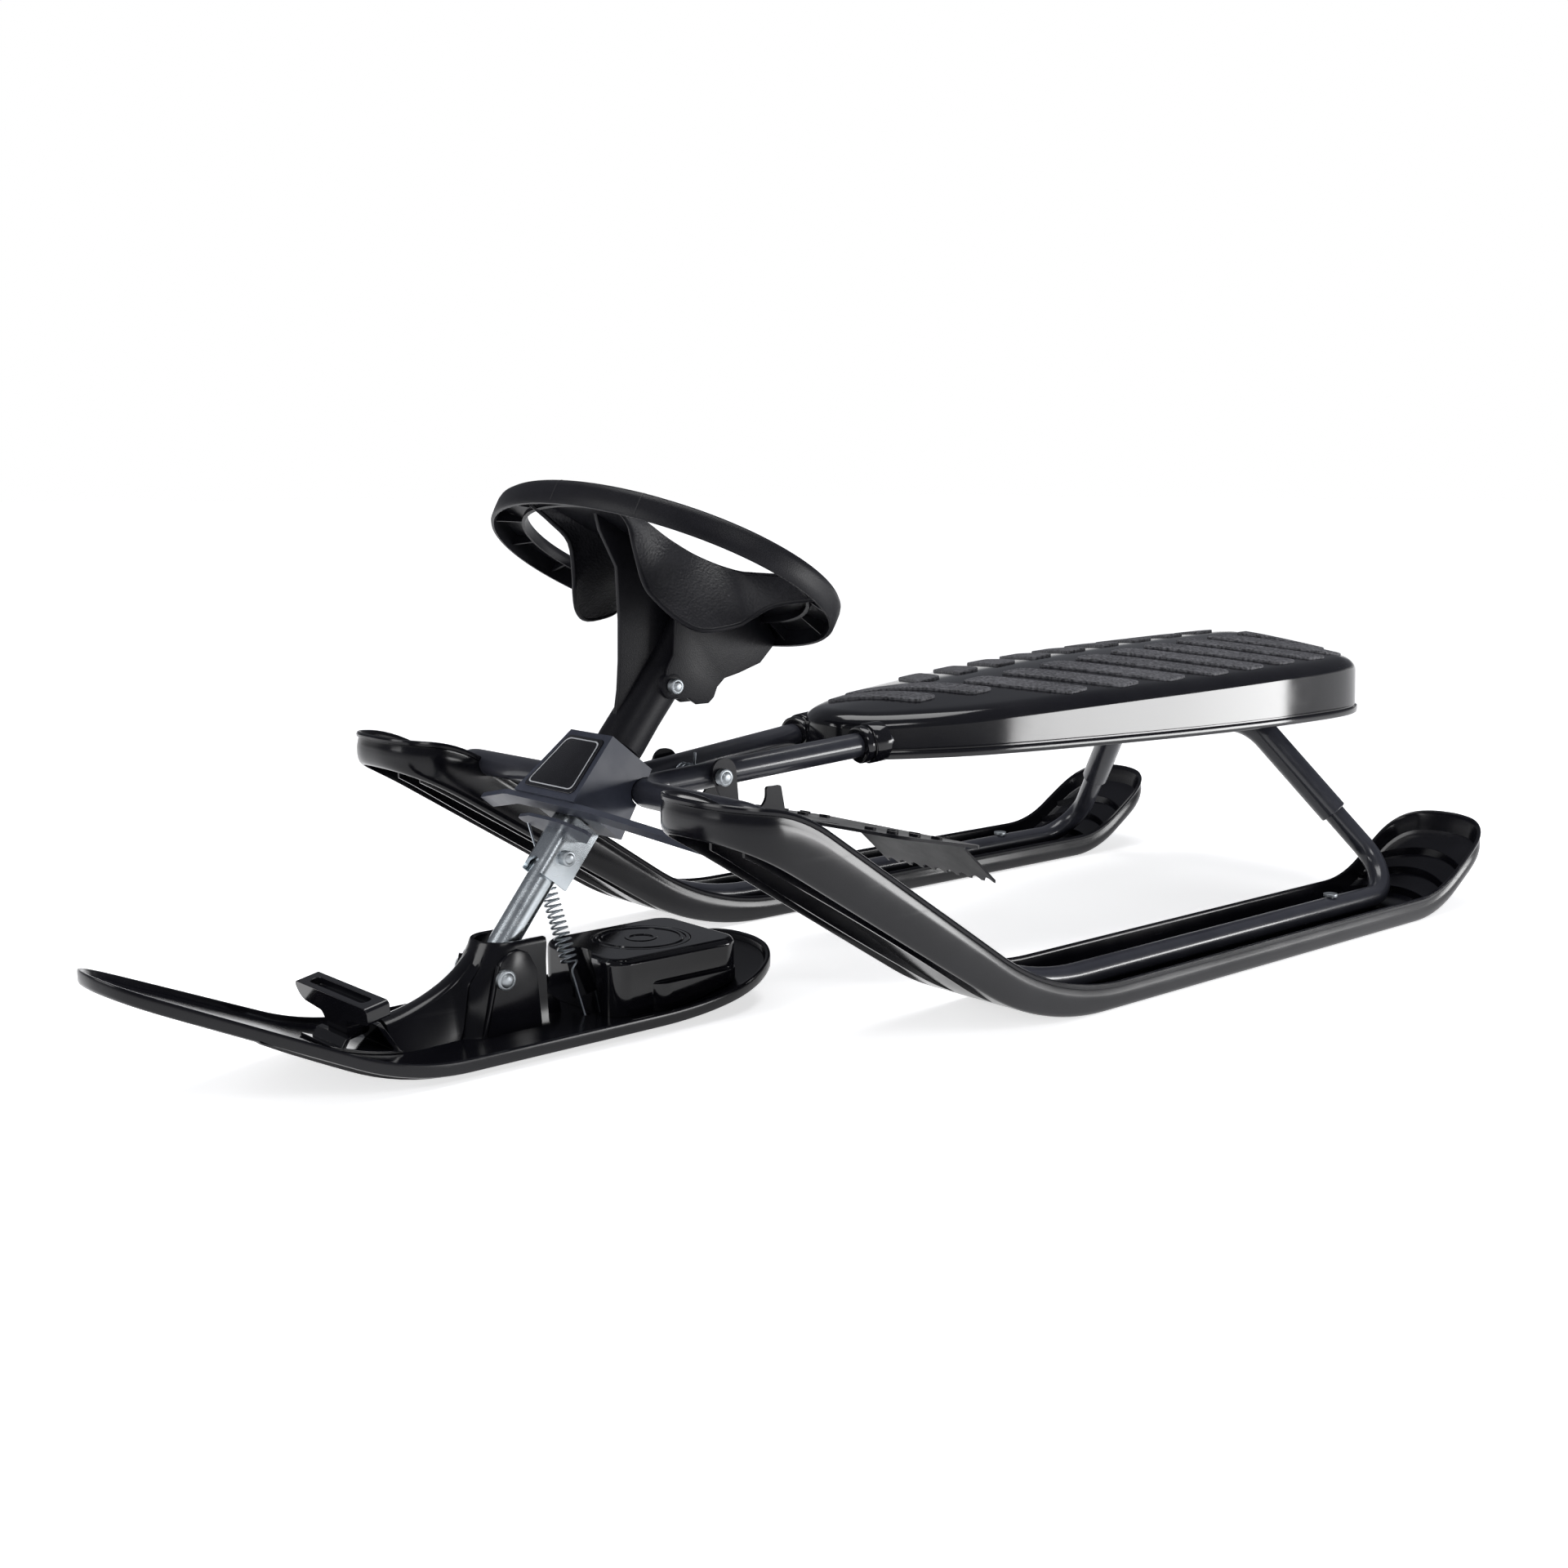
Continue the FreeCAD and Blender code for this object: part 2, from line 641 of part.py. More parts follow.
def rear_arch():
    """Makes the rear arch hoop that carries the seat's rear."""
    radii = [0, ARCH_BEND_RADIUS, ARCH_TOP_RADIUS, ARCH_TOP_RADIUS, ARCH_BEND_RADIUS, 0]
    arch = bent_tube(arch_points(), radii, TUBE_DIAMETER, TUBE_WALL)
    for side in (1, -1):
        hole = Part.makeCylinder(JOINT_BOLT / 2 + JOINT_PLAY, TUBE_DIAMETER, joint_point(side), UP)
        arch = arch.cut(hole)
    return arch


def joint_point(side):
    """Gives the middle of the tube where a joint bolt stands."""
    return Vector(TUBE_JOINT_X - JOINT_SETBACK, side * SKI_CENTRE_Y, RUNNER_Z)


def arch_saddle():
    """Makes the pressed saddle that wraps the arch under the seat."""
    points = arch_points()[1:5]
    leg = (points[0] - points[1]).normalize()
    left_end = points[1] + leg * (ARCH_TOP_RADIUS * ARCH_SADDLE_CORNER + ARCH_SADDLE_LEG)
    right_end = Vector(left_end.x, -left_end.y, left_end.z)
    turns = [0, ARCH_TOP_RADIUS, ARCH_TOP_RADIUS, 0]
    path = rounded_wire([left_end, points[1], points[2], right_end], turns)
    inner = TUBE_DIAMETER + 2 * TUBE_LIFT
    direction = points[1] - left_end
    outer = swept_round(path, left_end, direction, inner + 2 * ARCH_SADDLE_WALL)
    bore = swept_round(path, left_end, direction, inner)
    return outer.cut(bore)


def joint_bolts():
    """Makes the bolts that close the tube joints on the skis."""
    bolts = []
    for side in (1, -1):
        middle = joint_point(side)
        shank = Part.makeCylinder(JOINT_BOLT / 2, TUBE_RADIUS + JOINT_HEAD / 2, middle, UP)
        head = Part.makeCylinder(JOINT_BOLT, JOINT_HEAD, middle + UP * (TUBE_RADIUS + TUBE_LIFT), UP)
        bolts.append(fused([shank, head]))
    return Part.makeCompound(bolts)


def seat_half_width(x):
    """Gives the seat's half width at a place along it."""
    share = min(1.0, (SEAT_FRONT_X - x) / (SEAT_FRONT_X - SEAT_WIDEST_X))
    growth = math.sin(share * math.pi / 2) ** SEAT_SIDE_CURVE
    return SEAT_FRONT_HALF + (SEAT_REAR_HALF - SEAT_FRONT_HALF) * growth


def seat_ridge(x):
    """Gives the height of the seat's middle line at a place along it."""
    share = (SEAT_FRONT_X - x) / (SEAT_FRONT_X - SEAT_REAR_X)
    growth = math.sin(share * math.pi / 2) ** SEAT_RIDGE_CURVE
    return SEAT_FRONT_RIDGE_Z + (SEAT_REAR_RIDGE_Z - SEAT_FRONT_RIDGE_Z) * growth


def seat_outline(inset, z, height):
    """Makes a prism of the seat's outline from above, drawn in by an inset."""
    front = SEAT_FRONT_X - inset
    rear = SEAT_REAR_X + inset
    span = front - rear
    stations = [front - span * share for share in SEAT_STATIONS]
    widths = [seat_half_width(x) - inset for x in stations]
    widths[0] = SEAT_FRONT_HALF * SEAT_NOSE_SHARE
    widths[-2] *= SEAT_CORNER_SHARE
    widths[-1] = SEAT_REAR_HALF * SEAT_TAIL_SHARE
    left = [Vector(x, w, z) for x, w in zip(stations, widths)]
    right = [Vector(p.x, -p.y, p.z) for p in reversed(left)]
    edges = []
    for side in (left, right):
        curve = Part.BSplineCurve()
        curve.interpolate(side)
        edges.append(curve.toShape())
    edges.append(Part.Arc(left[-1], Vector(rear - SEAT_END_BULGE, 0, z), right[0]).toShape())
    edges.append(Part.Arc(right[-1], Vector(front + SEAT_END_BULGE, 0, z), left[0]).toShape())
    wire = Part.Wire(Part.__sortEdges__(edges))
    return Part.Face(wire).extrude(UP * height)


def seat_roof(lift):
    """Makes everything under the seat's crowned top, raised or lowered by a lift."""
    reach = SEAT_REAR_HALF + SEAT_ROOF_MARGIN
    foot = SEAT_ROOF_FOOT
    sections = []
    for share in SEAT_ROOF_STATIONS:
        x = SEAT_FRONT_X - (SEAT_FRONT_X - SEAT_REAR_X) * share
        inside = min(max(x, SEAT_REAR_X), SEAT_FRONT_X)
        past = max(0.0, share - SEAT_TAIL_DROP_FROM) / SEAT_TAIL_DROP_SPAN
        ridge = seat_ridge(inside) + lift - SEAT_TAIL_DROP * past
        edge = ridge - SEAT_CROWN * (reach / SEAT_REAR_HALF) ** 2
        corners = [Vector(x, -reach, foot), Vector(x, -reach, edge), Vector(x, reach, edge),
                   Vector(x, reach, foot)]
        top = Part.Arc(corners[1], Vector(x, 0, ridge), corners[2]).toShape()
        lines = [Part.LineSegment(corners[0], corners[1]).toShape(), top,
                 Part.LineSegment(corners[2], corners[3]).toShape(),
                 Part.LineSegment(corners[3], corners[0]).toShape()]
        sections.append(Part.Wire(lines))
    return Part.makeLoft(sections, True, False)


def seat_shell():
    """Makes the moulded seat: a crowned top, rounded edge, side skirt and a lip round its foot."""
    tall = SEAT_REAR_RIDGE_Z - SEAT_BOTTOM_Z + SEAT_ROOF_MARGIN
    block = seat_outline(0, SEAT_BOTTOM_Z, tall).common(seat_roof(0))
    rim = [e for e in block.Edges if e.BoundBox.ZMin > SEAT_BOTTOM_Z + SEAT_LIP
           and e.BoundBox.ZLength < SEAT_FILLET_REACH and not vertical(e)]
    block = block.makeFillet(SEAT_EDGE_RADIUS, rim)
    lip = seat_outline(-SEAT_LIP, SEAT_BOTTOM_Z, SEAT_LIP_HEIGHT)
    hollow = seat_outline(SEAT_SKIN, SEAT_BOTTOM_Z, tall).common(seat_roof(-SEAT_SKIN))
    shell = fused([block, lip]).cut(hollow)
    return shell.cut(seat_tube_room())


def vertical(edge):
    """Says whether an edge runs straight up."""
    box = edge.BoundBox
    return box.XLength < 0.5 and box.YLength < 0.5


def seat_tube_room():
    """Makes the room for the two frame tubes in the seat's front skirt."""
    rooms = []
    for side in (1, -1):
        points = [Vector(p.x, side * p.y, p.z) for p in runner_points()[:3]]
        path = rounded_wire(points, [0, TUBE_SEAT_RADIUS, 0])
        rooms.append(swept_round(path, points[0], points[1] - points[0], TUBE_DIAMETER + 2 * TUBE_LIFT))
    return rooms[0].fuse(rooms[1])


def pad_outline(k, side):
    """Makes the slanted outline of one grip pad as a tall prism."""
    slant = math.radians(PAD_SLANT_DEG)
    along = Vector(-math.sin(slant), side * math.cos(slant), 0)
    across = Vector(-1, 0, 0)
    x = PAD_FIRST_X - PAD_PITCH * k
    room = seat_half_width(x - PAD_LENGTH * 0.5) - SEAT_EDGE_RADIUS - PAD_SPINE
    length = min(PAD_LENGTH, (room - PAD_MARGIN) / math.cos(slant))
    start = Vector(x, side * PAD_SPINE, SEAT_ROOF_FOOT)
    end = start + along * length
    corners = [start, end, end + across * PAD_WIDTH, start + across * PAD_WIDTH]
    return plate_from(corners, UP * TALL, [PAD_WIDTH * PAD_TURN] * 4)


def seat_pads():
    """Makes the grip pads on both sides of the seat's spine."""
    skin = seat_roof(PAD_SEAT + PAD_HEIGHT).cut(seat_roof(PAD_SEAT))
    pads = []
    for side in (1, -1):
        for k in range(PAD_COUNT):
            pads += pad_outline(k, side).common(skin).Solids
    return Part.makeCompound(pads)


def seat_block():
    """Makes the block that the seat rests on over the rear arch."""
    tube_top = TUBE_SEAT_Z + TUBE_RADIUS + TUBE_LIFT + SEAT_BLOCK_LIFT
    x = ARCH_TOP_X + SEAT_BLOCK_AHEAD
    fall = SEAT_CROWN * ((TUBE_SEAT_Y + SEAT_BLOCK) / SEAT_REAR_HALF) ** 2
    top = seat_ridge(x) - SEAT_SKIN - fall - SEAT_BLOCK_PLAY
    blocks = []
    for side in (1, -1):
        middle = side * (TUBE_SEAT_Y + SEAT_BLOCK_SPREAD)
        corner = Vector(x - SEAT_BLOCK / 2, middle - SEAT_BLOCK / 2, tube_top)
        blocks.append(Part.makeBox(SEAT_BLOCK, SEAT_BLOCK, top - tube_top, corner))
    return Part.makeCompound(blocks)


def head_section(s, half, front, back, inset):
    """Gives the hood's section across the column at a distance along it from the head's middle."""
    centre = column_point(HEAD_Z) + COLUMN_AXIS * s
    ahead = COLUMN_FRONT * (front - inset)
    behind = COLUMN_FRONT * (-back + inset)
    left = SIDE * (half - inset)
    corners = [centre + ahead + left, centre + ahead - left, centre + behind - left, centre + behind + left]
    return Part.makePolygon(corners + [corners[0]])


def head_hood():
    """Makes the folded hood round the column's bearing, closed above and below."""
    low, high = -HEAD_HALF_LENGTH, HEAD_HALF_LENGTH
    flared = HEAD_FRONT + HEAD_FLARE
    sheet = HEAD_SHEET
    outer = Part.makeLoft([head_section(low, HEAD_LOW_HALF, flared, HEAD_BACK, 0),
                           head_section(high, HEAD_TOP_HALF, HEAD_FRONT, HEAD_BACK, 0)], True, True)
    inner = Part.makeLoft([head_section(low + sheet, HEAD_LOW_HALF, flared, HEAD_BACK, sheet),
                           head_section(high - sheet, HEAD_TOP_HALF, HEAD_FRONT, HEAD_BACK, sheet)],
                          True, True)
    hood = outer.cut(inner)
    reach = 2 * HEAD_HALF_LENGTH
    bore = rod(column_point(HEAD_Z - reach), column_point(HEAD_Z + reach), COLUMN_DIAMETER + 2 * BUSH_WALL)
    hood = hood.cut(bore)
    for side in (1, -1):
        points = [Vector(p.x, side * p.y, p.z) for p in runner_points()[1:4]]
        path = rounded_wire(points, [0, TUBE_HEAD_RADIUS, 0])
        hood = hood.cut(swept_round(path, points[0], points[1] - points[0], TUBE_DIAMETER + 2 * TUBE_LIFT))
    return max(hood.Solids, key=lambda solid: solid.Volume)


def label_plate():
    """Makes the bare plate on the hood's front."""
    front = HEAD_FRONT
    low_s, high_s = -HEAD_HALF_LENGTH + LABEL_INSET, HEAD_HALF_LENGTH - LABEL_INSET
    corners = []
    for s, side in ((low_s, 1), (low_s, -1), (high_s, -1), (high_s, 1)):
        share = (s + HEAD_HALF_LENGTH) / (2 * HEAD_HALF_LENGTH)
        half = HEAD_LOW_HALF + (HEAD_TOP_HALF - HEAD_LOW_HALF) * share - LABEL_INSET
        ahead = front + HEAD_FLARE * (1 - share)
        corners.append(column_point(HEAD_Z) + COLUMN_AXIS * s + SIDE * (side * half) + COLUMN_FRONT * ahead)
    normal = (corners[1] - corners[0]).cross(corners[3] - corners[0]).normalize()
    outward = normal if normal.dot(COLUMN_FRONT) > 0 else normal * -1
    return plate_from(corners, outward * LABEL_THICKNESS, [LABEL_TURN] * 4)


def column_ring(z, length, outer, inner):
    """Makes a sleeve round the column that starts at a height and runs up it."""
    start = column_point(z)
    return ring(start, start + COLUMN_AXIS * length, outer, inner)


def column_bush(z, flange_from):
    """Makes a flanged bearing bush round the column, with the flange at a distance along the column."""
    bore = COLUMN_DIAMETER + 2 * BUSH_CLEARANCE
    body = column_ring(z, BUSH_BODY, COLUMN_DIAMETER + 2 * (BUSH_WALL - BUSH_SEAT), bore)
    wide = COLUMN_DIAMETER + 2 * (BUSH_WALL + BUSH_FLANGE_WALL)
    flange = column_ring(z + flange_from * math.cos(RAKE), BUSH_FLANGE, wide, bore)
    return fused([body, flange])


def head_top_z():
    """Gives the column height at the hood's top face."""
    return HEAD_Z + HEAD_HALF_LENGTH * math.cos(RAKE)


def head_low_z():
    """Gives the column height at the hood's foot."""
    return HEAD_Z - HEAD_HALF_LENGTH * math.cos(RAKE)


def upper_bush():
    """Makes the bush in the hood's top sheet, with its flange inside."""
    foot = head_top_z() - BUSH_BODY * math.cos(RAKE)
    return column_bush(foot, -BUSH_FLANGE)


def lower_bush():
    """Makes the bush in the hood's foot sheet, with its flange inside."""
    return column_bush(head_low_z(), BUSH_BODY)


def wing_plate():
    """Makes the plated cross sheet on the column under the hood, with a pointed wing on each side."""
    base = wing_base()
    outline = [(WING_FRONT, WING_FRONT_HALF), (WING_FRONT, -WING_FRONT_HALF), (WING_TIP, -WING_HALF),
               (-WING_BACK, -WING_BACK_HALF), (-WING_BACK, WING_BACK_HALF), (WING_TIP, WING_HALF)]
    corners = [base + COLUMN_FRONT * f + SIDE * y for f, y in outline]
    plate = plate_from(corners, COLUMN_AXIS * WING_SHEET, WING_TURNS)
    along = spring_head() - spring_foot()
    hole = rod(spring_foot(), spring_head() + along * 0.5, SPRING_WIRE + 2 * SPRING_PLAY)
    return plate.cut(clevis_block()).cut(hole)


def wing_base():
    """Gives the column point at the foot of the cross sheet."""
    return column_point(head_low_z()) - COLUMN_AXIS * (WING_GAP + WING_SHEET)


def column():
    """Makes the plated steering column tube."""
    start = column_point(COLUMN_BOTTOM_Z)
    end = column_point(COLUMN_TOP_Z)
    tube = ring(start, end, COLUMN_DIAMETER, COLUMN_DIAMETER - 2 * COLUMN_WALL)
    clamp = clevis_bolt_point()
    holes = [cross_hole(PIVOT_X, PIVOT_Z, PIVOT_BOLT), cross_hole(clamp.x, clamp.z, CLEVIS_BOLT),
             cross_hole(column_point(WHEEL_BOLT_Z).x, WHEEL_BOLT_Z, CLEVIS_BOLT)]
    for hole in holes:
        tube = tube.cut(hole)
    return tube


def cross_hole(x, z, diameter):
    """Makes a running hole across the sled."""
    return rod(Vector(x, -TALL / 2, z), Vector(x, TALL / 2, z), diameter + BOLT_PLAY)


def clevis_top():
    """Gives the column point at the clevis bracket's upper end."""
    return column_point(head_low_z()) - COLUMN_AXIS * CLEVIS_GAP


def clevis_bolt_point():
    """Gives the column point that the clevis bolt crosses."""
    return clevis_top() - COLUMN_AXIS * (CLEVIS_LENGTH * CLEVIS_BOLT_SHARE)


def clevis_block():
    """Makes the clevis bracket's outer body as a solid."""
    half = COLUMN_DIAMETER / 2 + CLEVIS_PLAY + CLEVIS_SHEET
    base = clevis_top() - COLUMN_AXIS * CLEVIS_LENGTH
    ahead = COLUMN_FRONT * half
    behind = COLUMN_FRONT * -CLEVIS_BACK
    corners = [base + ahead + SIDE * half, base + ahead - SIDE * half, base + behind - SIDE * half,
               base + behind + SIDE * half]
    return plate_from(corners, COLUMN_AXIS * CLEVIS_LENGTH, [CLEVIS_FOLD, CLEVIS_FOLD, 0, 0])


def clevis():
    """Makes the folded bracket that clamps the column under the head."""
    half = COLUMN_DIAMETER / 2 + CLEVIS_PLAY
    base = clevis_top() - COLUMN_AXIS * CLEVIS_LENGTH
    ahead = COLUMN_FRONT * half
    behind = COLUMN_FRONT * (-2 * CLEVIS_BACK)
    room = [base + ahead + SIDE * half, base + ahead - SIDE * half, base + behind - SIDE * half,
            base + behind + SIDE * half]
    fold = CLEVIS_FOLD - CLEVIS_SHEET
    inner = plate_from(room, COLUMN_AXIS * CLEVIS_LENGTH, [fold, fold, 0, 0])
    arch = rod(base + COLUMN_FRONT * CLEVIS_ARCH_FROM, base + COLUMN_FRONT * CLEVIS_ARCH_TO, COLUMN_DIAMETER)
    bolt = clevis_bolt_point()
    return clevis_block().cut(inner).cut(arch).cut(cross_hole(bolt.x, bolt.z, CLEVIS_BOLT))


def clevis_bolt():
    """Makes the bolt through the clevis bracket and the column."""
    point = clevis_bolt_point()
    half = COLUMN_DIAMETER / 2 + CLEVIS_PLAY + CLEVIS_SHEET + BOLT_PLAY
    return cross_bolt(point.x, point.z, half, CLEVIS_BOLT, BOLT_HEAD)


def wheel_point(u, v, n):
    """Gives a point in the wheel's own frame: forward, left and up from the rim's top plane."""
    tilt = math.radians(WHEEL_TILT_DEG)
    forward = Vector(math.cos(tilt), 0, math.sin(tilt))
    normal = Vector(-math.sin(tilt), 0, math.cos(tilt))
    return Vector(WHEEL_X, 0, WHEEL_Z) + forward * u + SIDE * v + normal * n


def wheel_normal():
    """Gives the direction out of the wheel's top."""
    return wheel_point(0, 0, 1) - wheel_point(0, 0, 0)


def wheel_oval(half_length, half_width, n, shift=0.0):
    """Gives an oval wire in the wheel's frame at a depth."""
    centre = wheel_point(shift, 0, n)
    ellipse = Part.Ellipse(wheel_point(shift, half_width, n), wheel_point(shift + half_length, 0, n), centre)
    return Part.Wire([ellipse.toShape()])


def oval_ring(inset_outer, inset_inner, n_from, n_to):
    """Makes an oval ring between two insets and two depths of the rim."""
    rings = []
    for inset in (inset_outer, inset_inner):
        wire = wheel_oval(WHEEL_HALF_LENGTH - inset, WHEEL_HALF_WIDTH - inset, n_from)
        rings.append(Part.Face(wire).extrude(wheel_normal() * (n_to - n_from)))
    return rings[0].cut(rings[1])


def wheel_rim():
    """Makes the hollow rim of the steering wheel, open below and lower outside than inside."""
    rim = oval_ring(0, RIM_BAND, -RIM_DEPTH, 0)
    middle = wheel_point(0, 0, 0)
    top = [e for e in rim.Edges if e.Closed and (e.CenterOfMass - middle).dot(wheel_normal()) > -RIM_WALL]
    rim = rim.makeChamfer(RIM_EDGE, top)
    groove = oval_ring(RIM_WALL, RIM_BAND - RIM_WALL, -RIM_DEPTH + BELOW, -RIM_ROOF)
    inner_foot = oval_ring(RIM_BAND / 2, RIM_BAND - BELOW, -RIM_DEPTH + BELOW, -RIM_INNER_DEPTH)
    return rim.cut(groove).cut(inner_foot)


def inside_rim():
    """Makes the room inside the rim's inner wall as a tall oval prism, reaching into the wall."""
    inset = RIM_BAND - RIM_WALL / 2
    wire = wheel_oval(WHEEL_HALF_LENGTH - inset, WHEEL_HALF_WIDTH - inset, -TALL / 2)
    return Part.Face(wire).extrude(wheel_normal() * TALL)


def wheel_deck():
    """Makes the wheel's middle sheet with a hand opening on each side."""
    wire = wheel_oval(WHEEL_HALF_LENGTH, WHEEL_HALF_WIDTH, -DECK_DEPTH - DECK_SHEET)
    deck = Part.Face(wire).extrude(wheel_normal() * DECK_SHEET)
    for side in (1, -1):
        corners = [wheel_point(u, side * v, -DECK_DEPTH * 3 - DECK_SHEET) for u, v in HAND_GAP]
        deck = deck.cut(plate_from(corners, wheel_normal() * TALL, HAND_GAP_TURNS))
    return deck


def hand_skirt(side):
    """Makes the flared wall that falls from a hand opening's inner and rear edge to a curved foot."""
    curves = []
    for row in ([(u, v, -DECK_DEPTH - DECK_SHEET / 2) for u, v in SKIRT_TOP], SKIRT_FOOT):
        curve = Part.BSplineCurve()
        curve.interpolate([wheel_point(u, side * v, n) for u, v, n in row])
        curves.append(curve.toShape())
    wall = Part.makeRuledSurface(curves[0], curves[1])
    back_u, back_v, back_n = SKIRT_BACK
    back = wheel_point(back_u, side * back_v, back_n) - wheel_point(0, 0, 0)
    return wall.extrude(back * SKIRT_SHEET)


def wheel_web(y):
    """Makes one upright web from the rim's rear past the sleeve to the front spoke."""
    low = [Vector(x, y, z) for x, z in WEB_REAR]
    high = [Vector(x, y, z) for x, z in WEB_FRONT]
    tops = [wheel_point(u, y, -DECK_DEPTH - DECK_SHEET / 2) for u in (WEB_TOP_REACH, -WEB_TOP_REACH)]
    return plate_from(low + high + tops, SIDE * WEB)


def wheel_body():
    """Makes the middle sheet, the webs under it and the sleeve that takes the column."""
    hub = rod(column_point(HUB_BOTTOM_Z), column_point(COLUMN_TOP_Z + HUB_TOP_MARGIN), HUB_DIAMETER)
    room = inside_rim()
    webs = [wheel_web(y - WEB / 2).common(room) for y in (0.0, WEB_SPREAD, -WEB_SPREAD)]
    body = fused([fused([wheel_deck().common(room)] + webs), hub])
    reach = column_point(HUB_BOTTOM_Z - ASIDE)
    bore = rod(reach, column_point(COLUMN_TOP_Z), COLUMN_DIAMETER + 2 * HUB_CLEARANCE)
    bolt = column_point(WHEEL_BOLT_Z)
    return body.cut(bore).cut(cross_hole(bolt.x, bolt.z, CLEVIS_BOLT))


def steering_wheel():
    """Makes the steering wheel: rim, body and skirts in one moulding."""
    wheel = fused([wheel_rim(), wheel_body()])
    for side in (1, -1):
        wheel = fused([wheel, hand_skirt(side).common(inside_rim())])
    return wheel


def wheel_bolt():
    """Makes the bolt through the wheel's sleeve and the column."""
    point = column_point(WHEEL_BOLT_Z)
    return cross_bolt(point.x, point.z, WEB_SPREAD + WEB / 2 + BOLT_SEAT, CLEVIS_BOLT, BOLT_HEAD)


def shifted(curve, rise):
    """Moves a side curve straight up."""
    points, radii = curve
    return [(x, z + rise) for x, z in points], radii


def front_sole():
    """Gives the side curve of the front ski's plate foot from tail to tip."""
    tip_z = slope_corner(FRONT_BEND_X, FRONT_SOLE_Z, FRONT_SLOPE_DEG, FRONT_TIP_X)
    points = [(FRONT_TAIL_X, FRONT_SOLE_Z + FRONT_TAIL_RISE), (FRONT_TAIL_START_X, FRONT_SOLE_Z),
              (FRONT_BEND_X, FRONT_SOLE_Z), (FRONT_TIP_X, tip_z)]
    return points, [0, FRONT_TAIL_RADIUS, FRONT_BEND_RADIUS, 0]


def front_plan(inset):
    """Makes the front ski's outline from above as a tall prism, drawn in by an inset."""
    half = FRONT_HALF_WIDTH - inset
    nose = FRONT_NOSE_HALF - inset
    tail = FRONT_TAIL_X + inset
    tip = FRONT_TIP_X - inset
    right = [Vector(tail, -half, BELOW), Vector(FRONT_TAPER_X, -half, BELOW), Vector(tip, -nose, BELOW)]
    left = [Vector(p.x, -p.y, p.z) for p in reversed(right)]
    turns = [half * FRONT_PLAN_TURN, FRONT_HALF_WIDTH * 2, nose * FRONT_PLAN_TURN]
    return plate_from(right + left, UP * TALL, turns + turns[::-1])


def front_plate_top():
    """Gives the height of the front ski's plate where it is flat."""
    return FRONT_SOLE_Z + FRONT_PLATE


def boss_block():
    """Makes the column boss and the spine that runs from it to the handle holder."""
    base = front_plate_top() + BELOW
    crown_x = PIVOT_X + BOSS_CROWN_FRONT
    crown_z = BOSS_TOP_Z + BOSS_CROWN_RISE
    boss = [(BOSS_REAR_X, base), (BOSS_REAR_X + BOSS_REAR_LEAN, PIVOT_Z + BOSS_REAR_LEAN),
            (PIVOT_X - BOSS_CROWN_REAR, BOSS_TOP_Z), (crown_x, crown_z),
            (BOSS_FRONT_X, BOSS_TOP_Z - BOSS_NOSE_DROP), (BOSS_FRONT_X + BOSS_CROWN_FRONT, base)]
    block = plate_from([Vector(x, -BOSS_HALF, z) for x, z in boss], SIDE * (2 * BOSS_HALF), BOSS_TURNS)
    ridge = [(PIVOT_X, base), (crown_x, crown_z),
             (BOSS_FRONT_X + SPINE_SHOULDER[0], BOSS_TOP_Z - SPINE_SHOULDER[1]),
             (BOSS_FRONT_X + SPINE_FOOT[0], SPINE_Z + SPINE_FOOT[1]),
             (SPINE_FRONT_X, SPINE_Z - SPINE_DROP), (SPINE_FRONT_X, base)]
    spine = plate_from([Vector(x, -SPINE_HALF, z) for x, z in ridge], SIDE * (2 * SPINE_HALF), SPINE_TURNS)
    slot_x = BOSS_REAR_X - BOSS_SLOT_PLAY
    slot = Part.makeBox(crown_x - slot_x, 2 * BOSS_SLOT_HALF, TALL, Vector(slot_x, -BOSS_SLOT_HALF, base))
    return fused([block, spine]).cut(slot).cut(cross_hole(PIVOT_X, PIVOT_Z, PIVOT_BOLT))


def front_ski():
    """Makes the steered front ski: tray, rim, keels under the sole, spine and column boss."""
    sole = front_sole()
    half = FRONT_HALF_WIDTH
    outline = front_plan(0)
    rim = side_band(shifted(sole, FRONT_RIM_HEIGHT), sole, -half, half).cut(front_plan(FRONT_RIM_WALL))
    plate = side_band(shifted(sole, FRONT_PLATE), sole, -half, half)
    first = -KEEL_SPACING * (KEEL_COUNT - 1) / 2 - KEEL_WIDTH / 2
    keels = []
    for k in range(KEEL_COUNT):
        y = first + KEEL_SPACING * k
        root = shifted(sole, FRONT_PLATE / 2)
        keels.append(side_band(root, shifted(sole, -FRONT_SOLE_Z), y, y + KEEL_WIDTH))
    tray = fused([plate, rim] + keels).common(outline)
    anchor_foot = spring_foot() - UP * SPRING_FOOT_FLOOR
    anchor = Part.makeCylinder(SPRING_WIRE / 2 + SPRING_FOOT_PLAY, TALL, anchor_foot, UP)
    return fused([tray, boss_block()]).cut(anchor)


def pivot_bolt():
    """Makes the bolt that the front ski rocks on."""
    return cross_bolt(PIVOT_X, PIVOT_Z, BOSS_HALF + BOLT_SEAT, PIVOT_BOLT, BOLT_HEAD)


def arc_from(start, tangent, end):
    """Makes the arc that leaves a point along a tangent and ends at another point."""
    chord = end - start
    along = Vector(chord).normalize()
    side = tangent - along * tangent.dot(along)
    half = chord.Length / 2
    if side.Length < 1e-7:
        return Part.LineSegment(start, end).toShape()
    bulge = half * math.tan(tangent.getAngle(along) / 2)
    return Part.Arc(start, start + chord * 0.5 + side.normalize() * bulge, end).toShape()


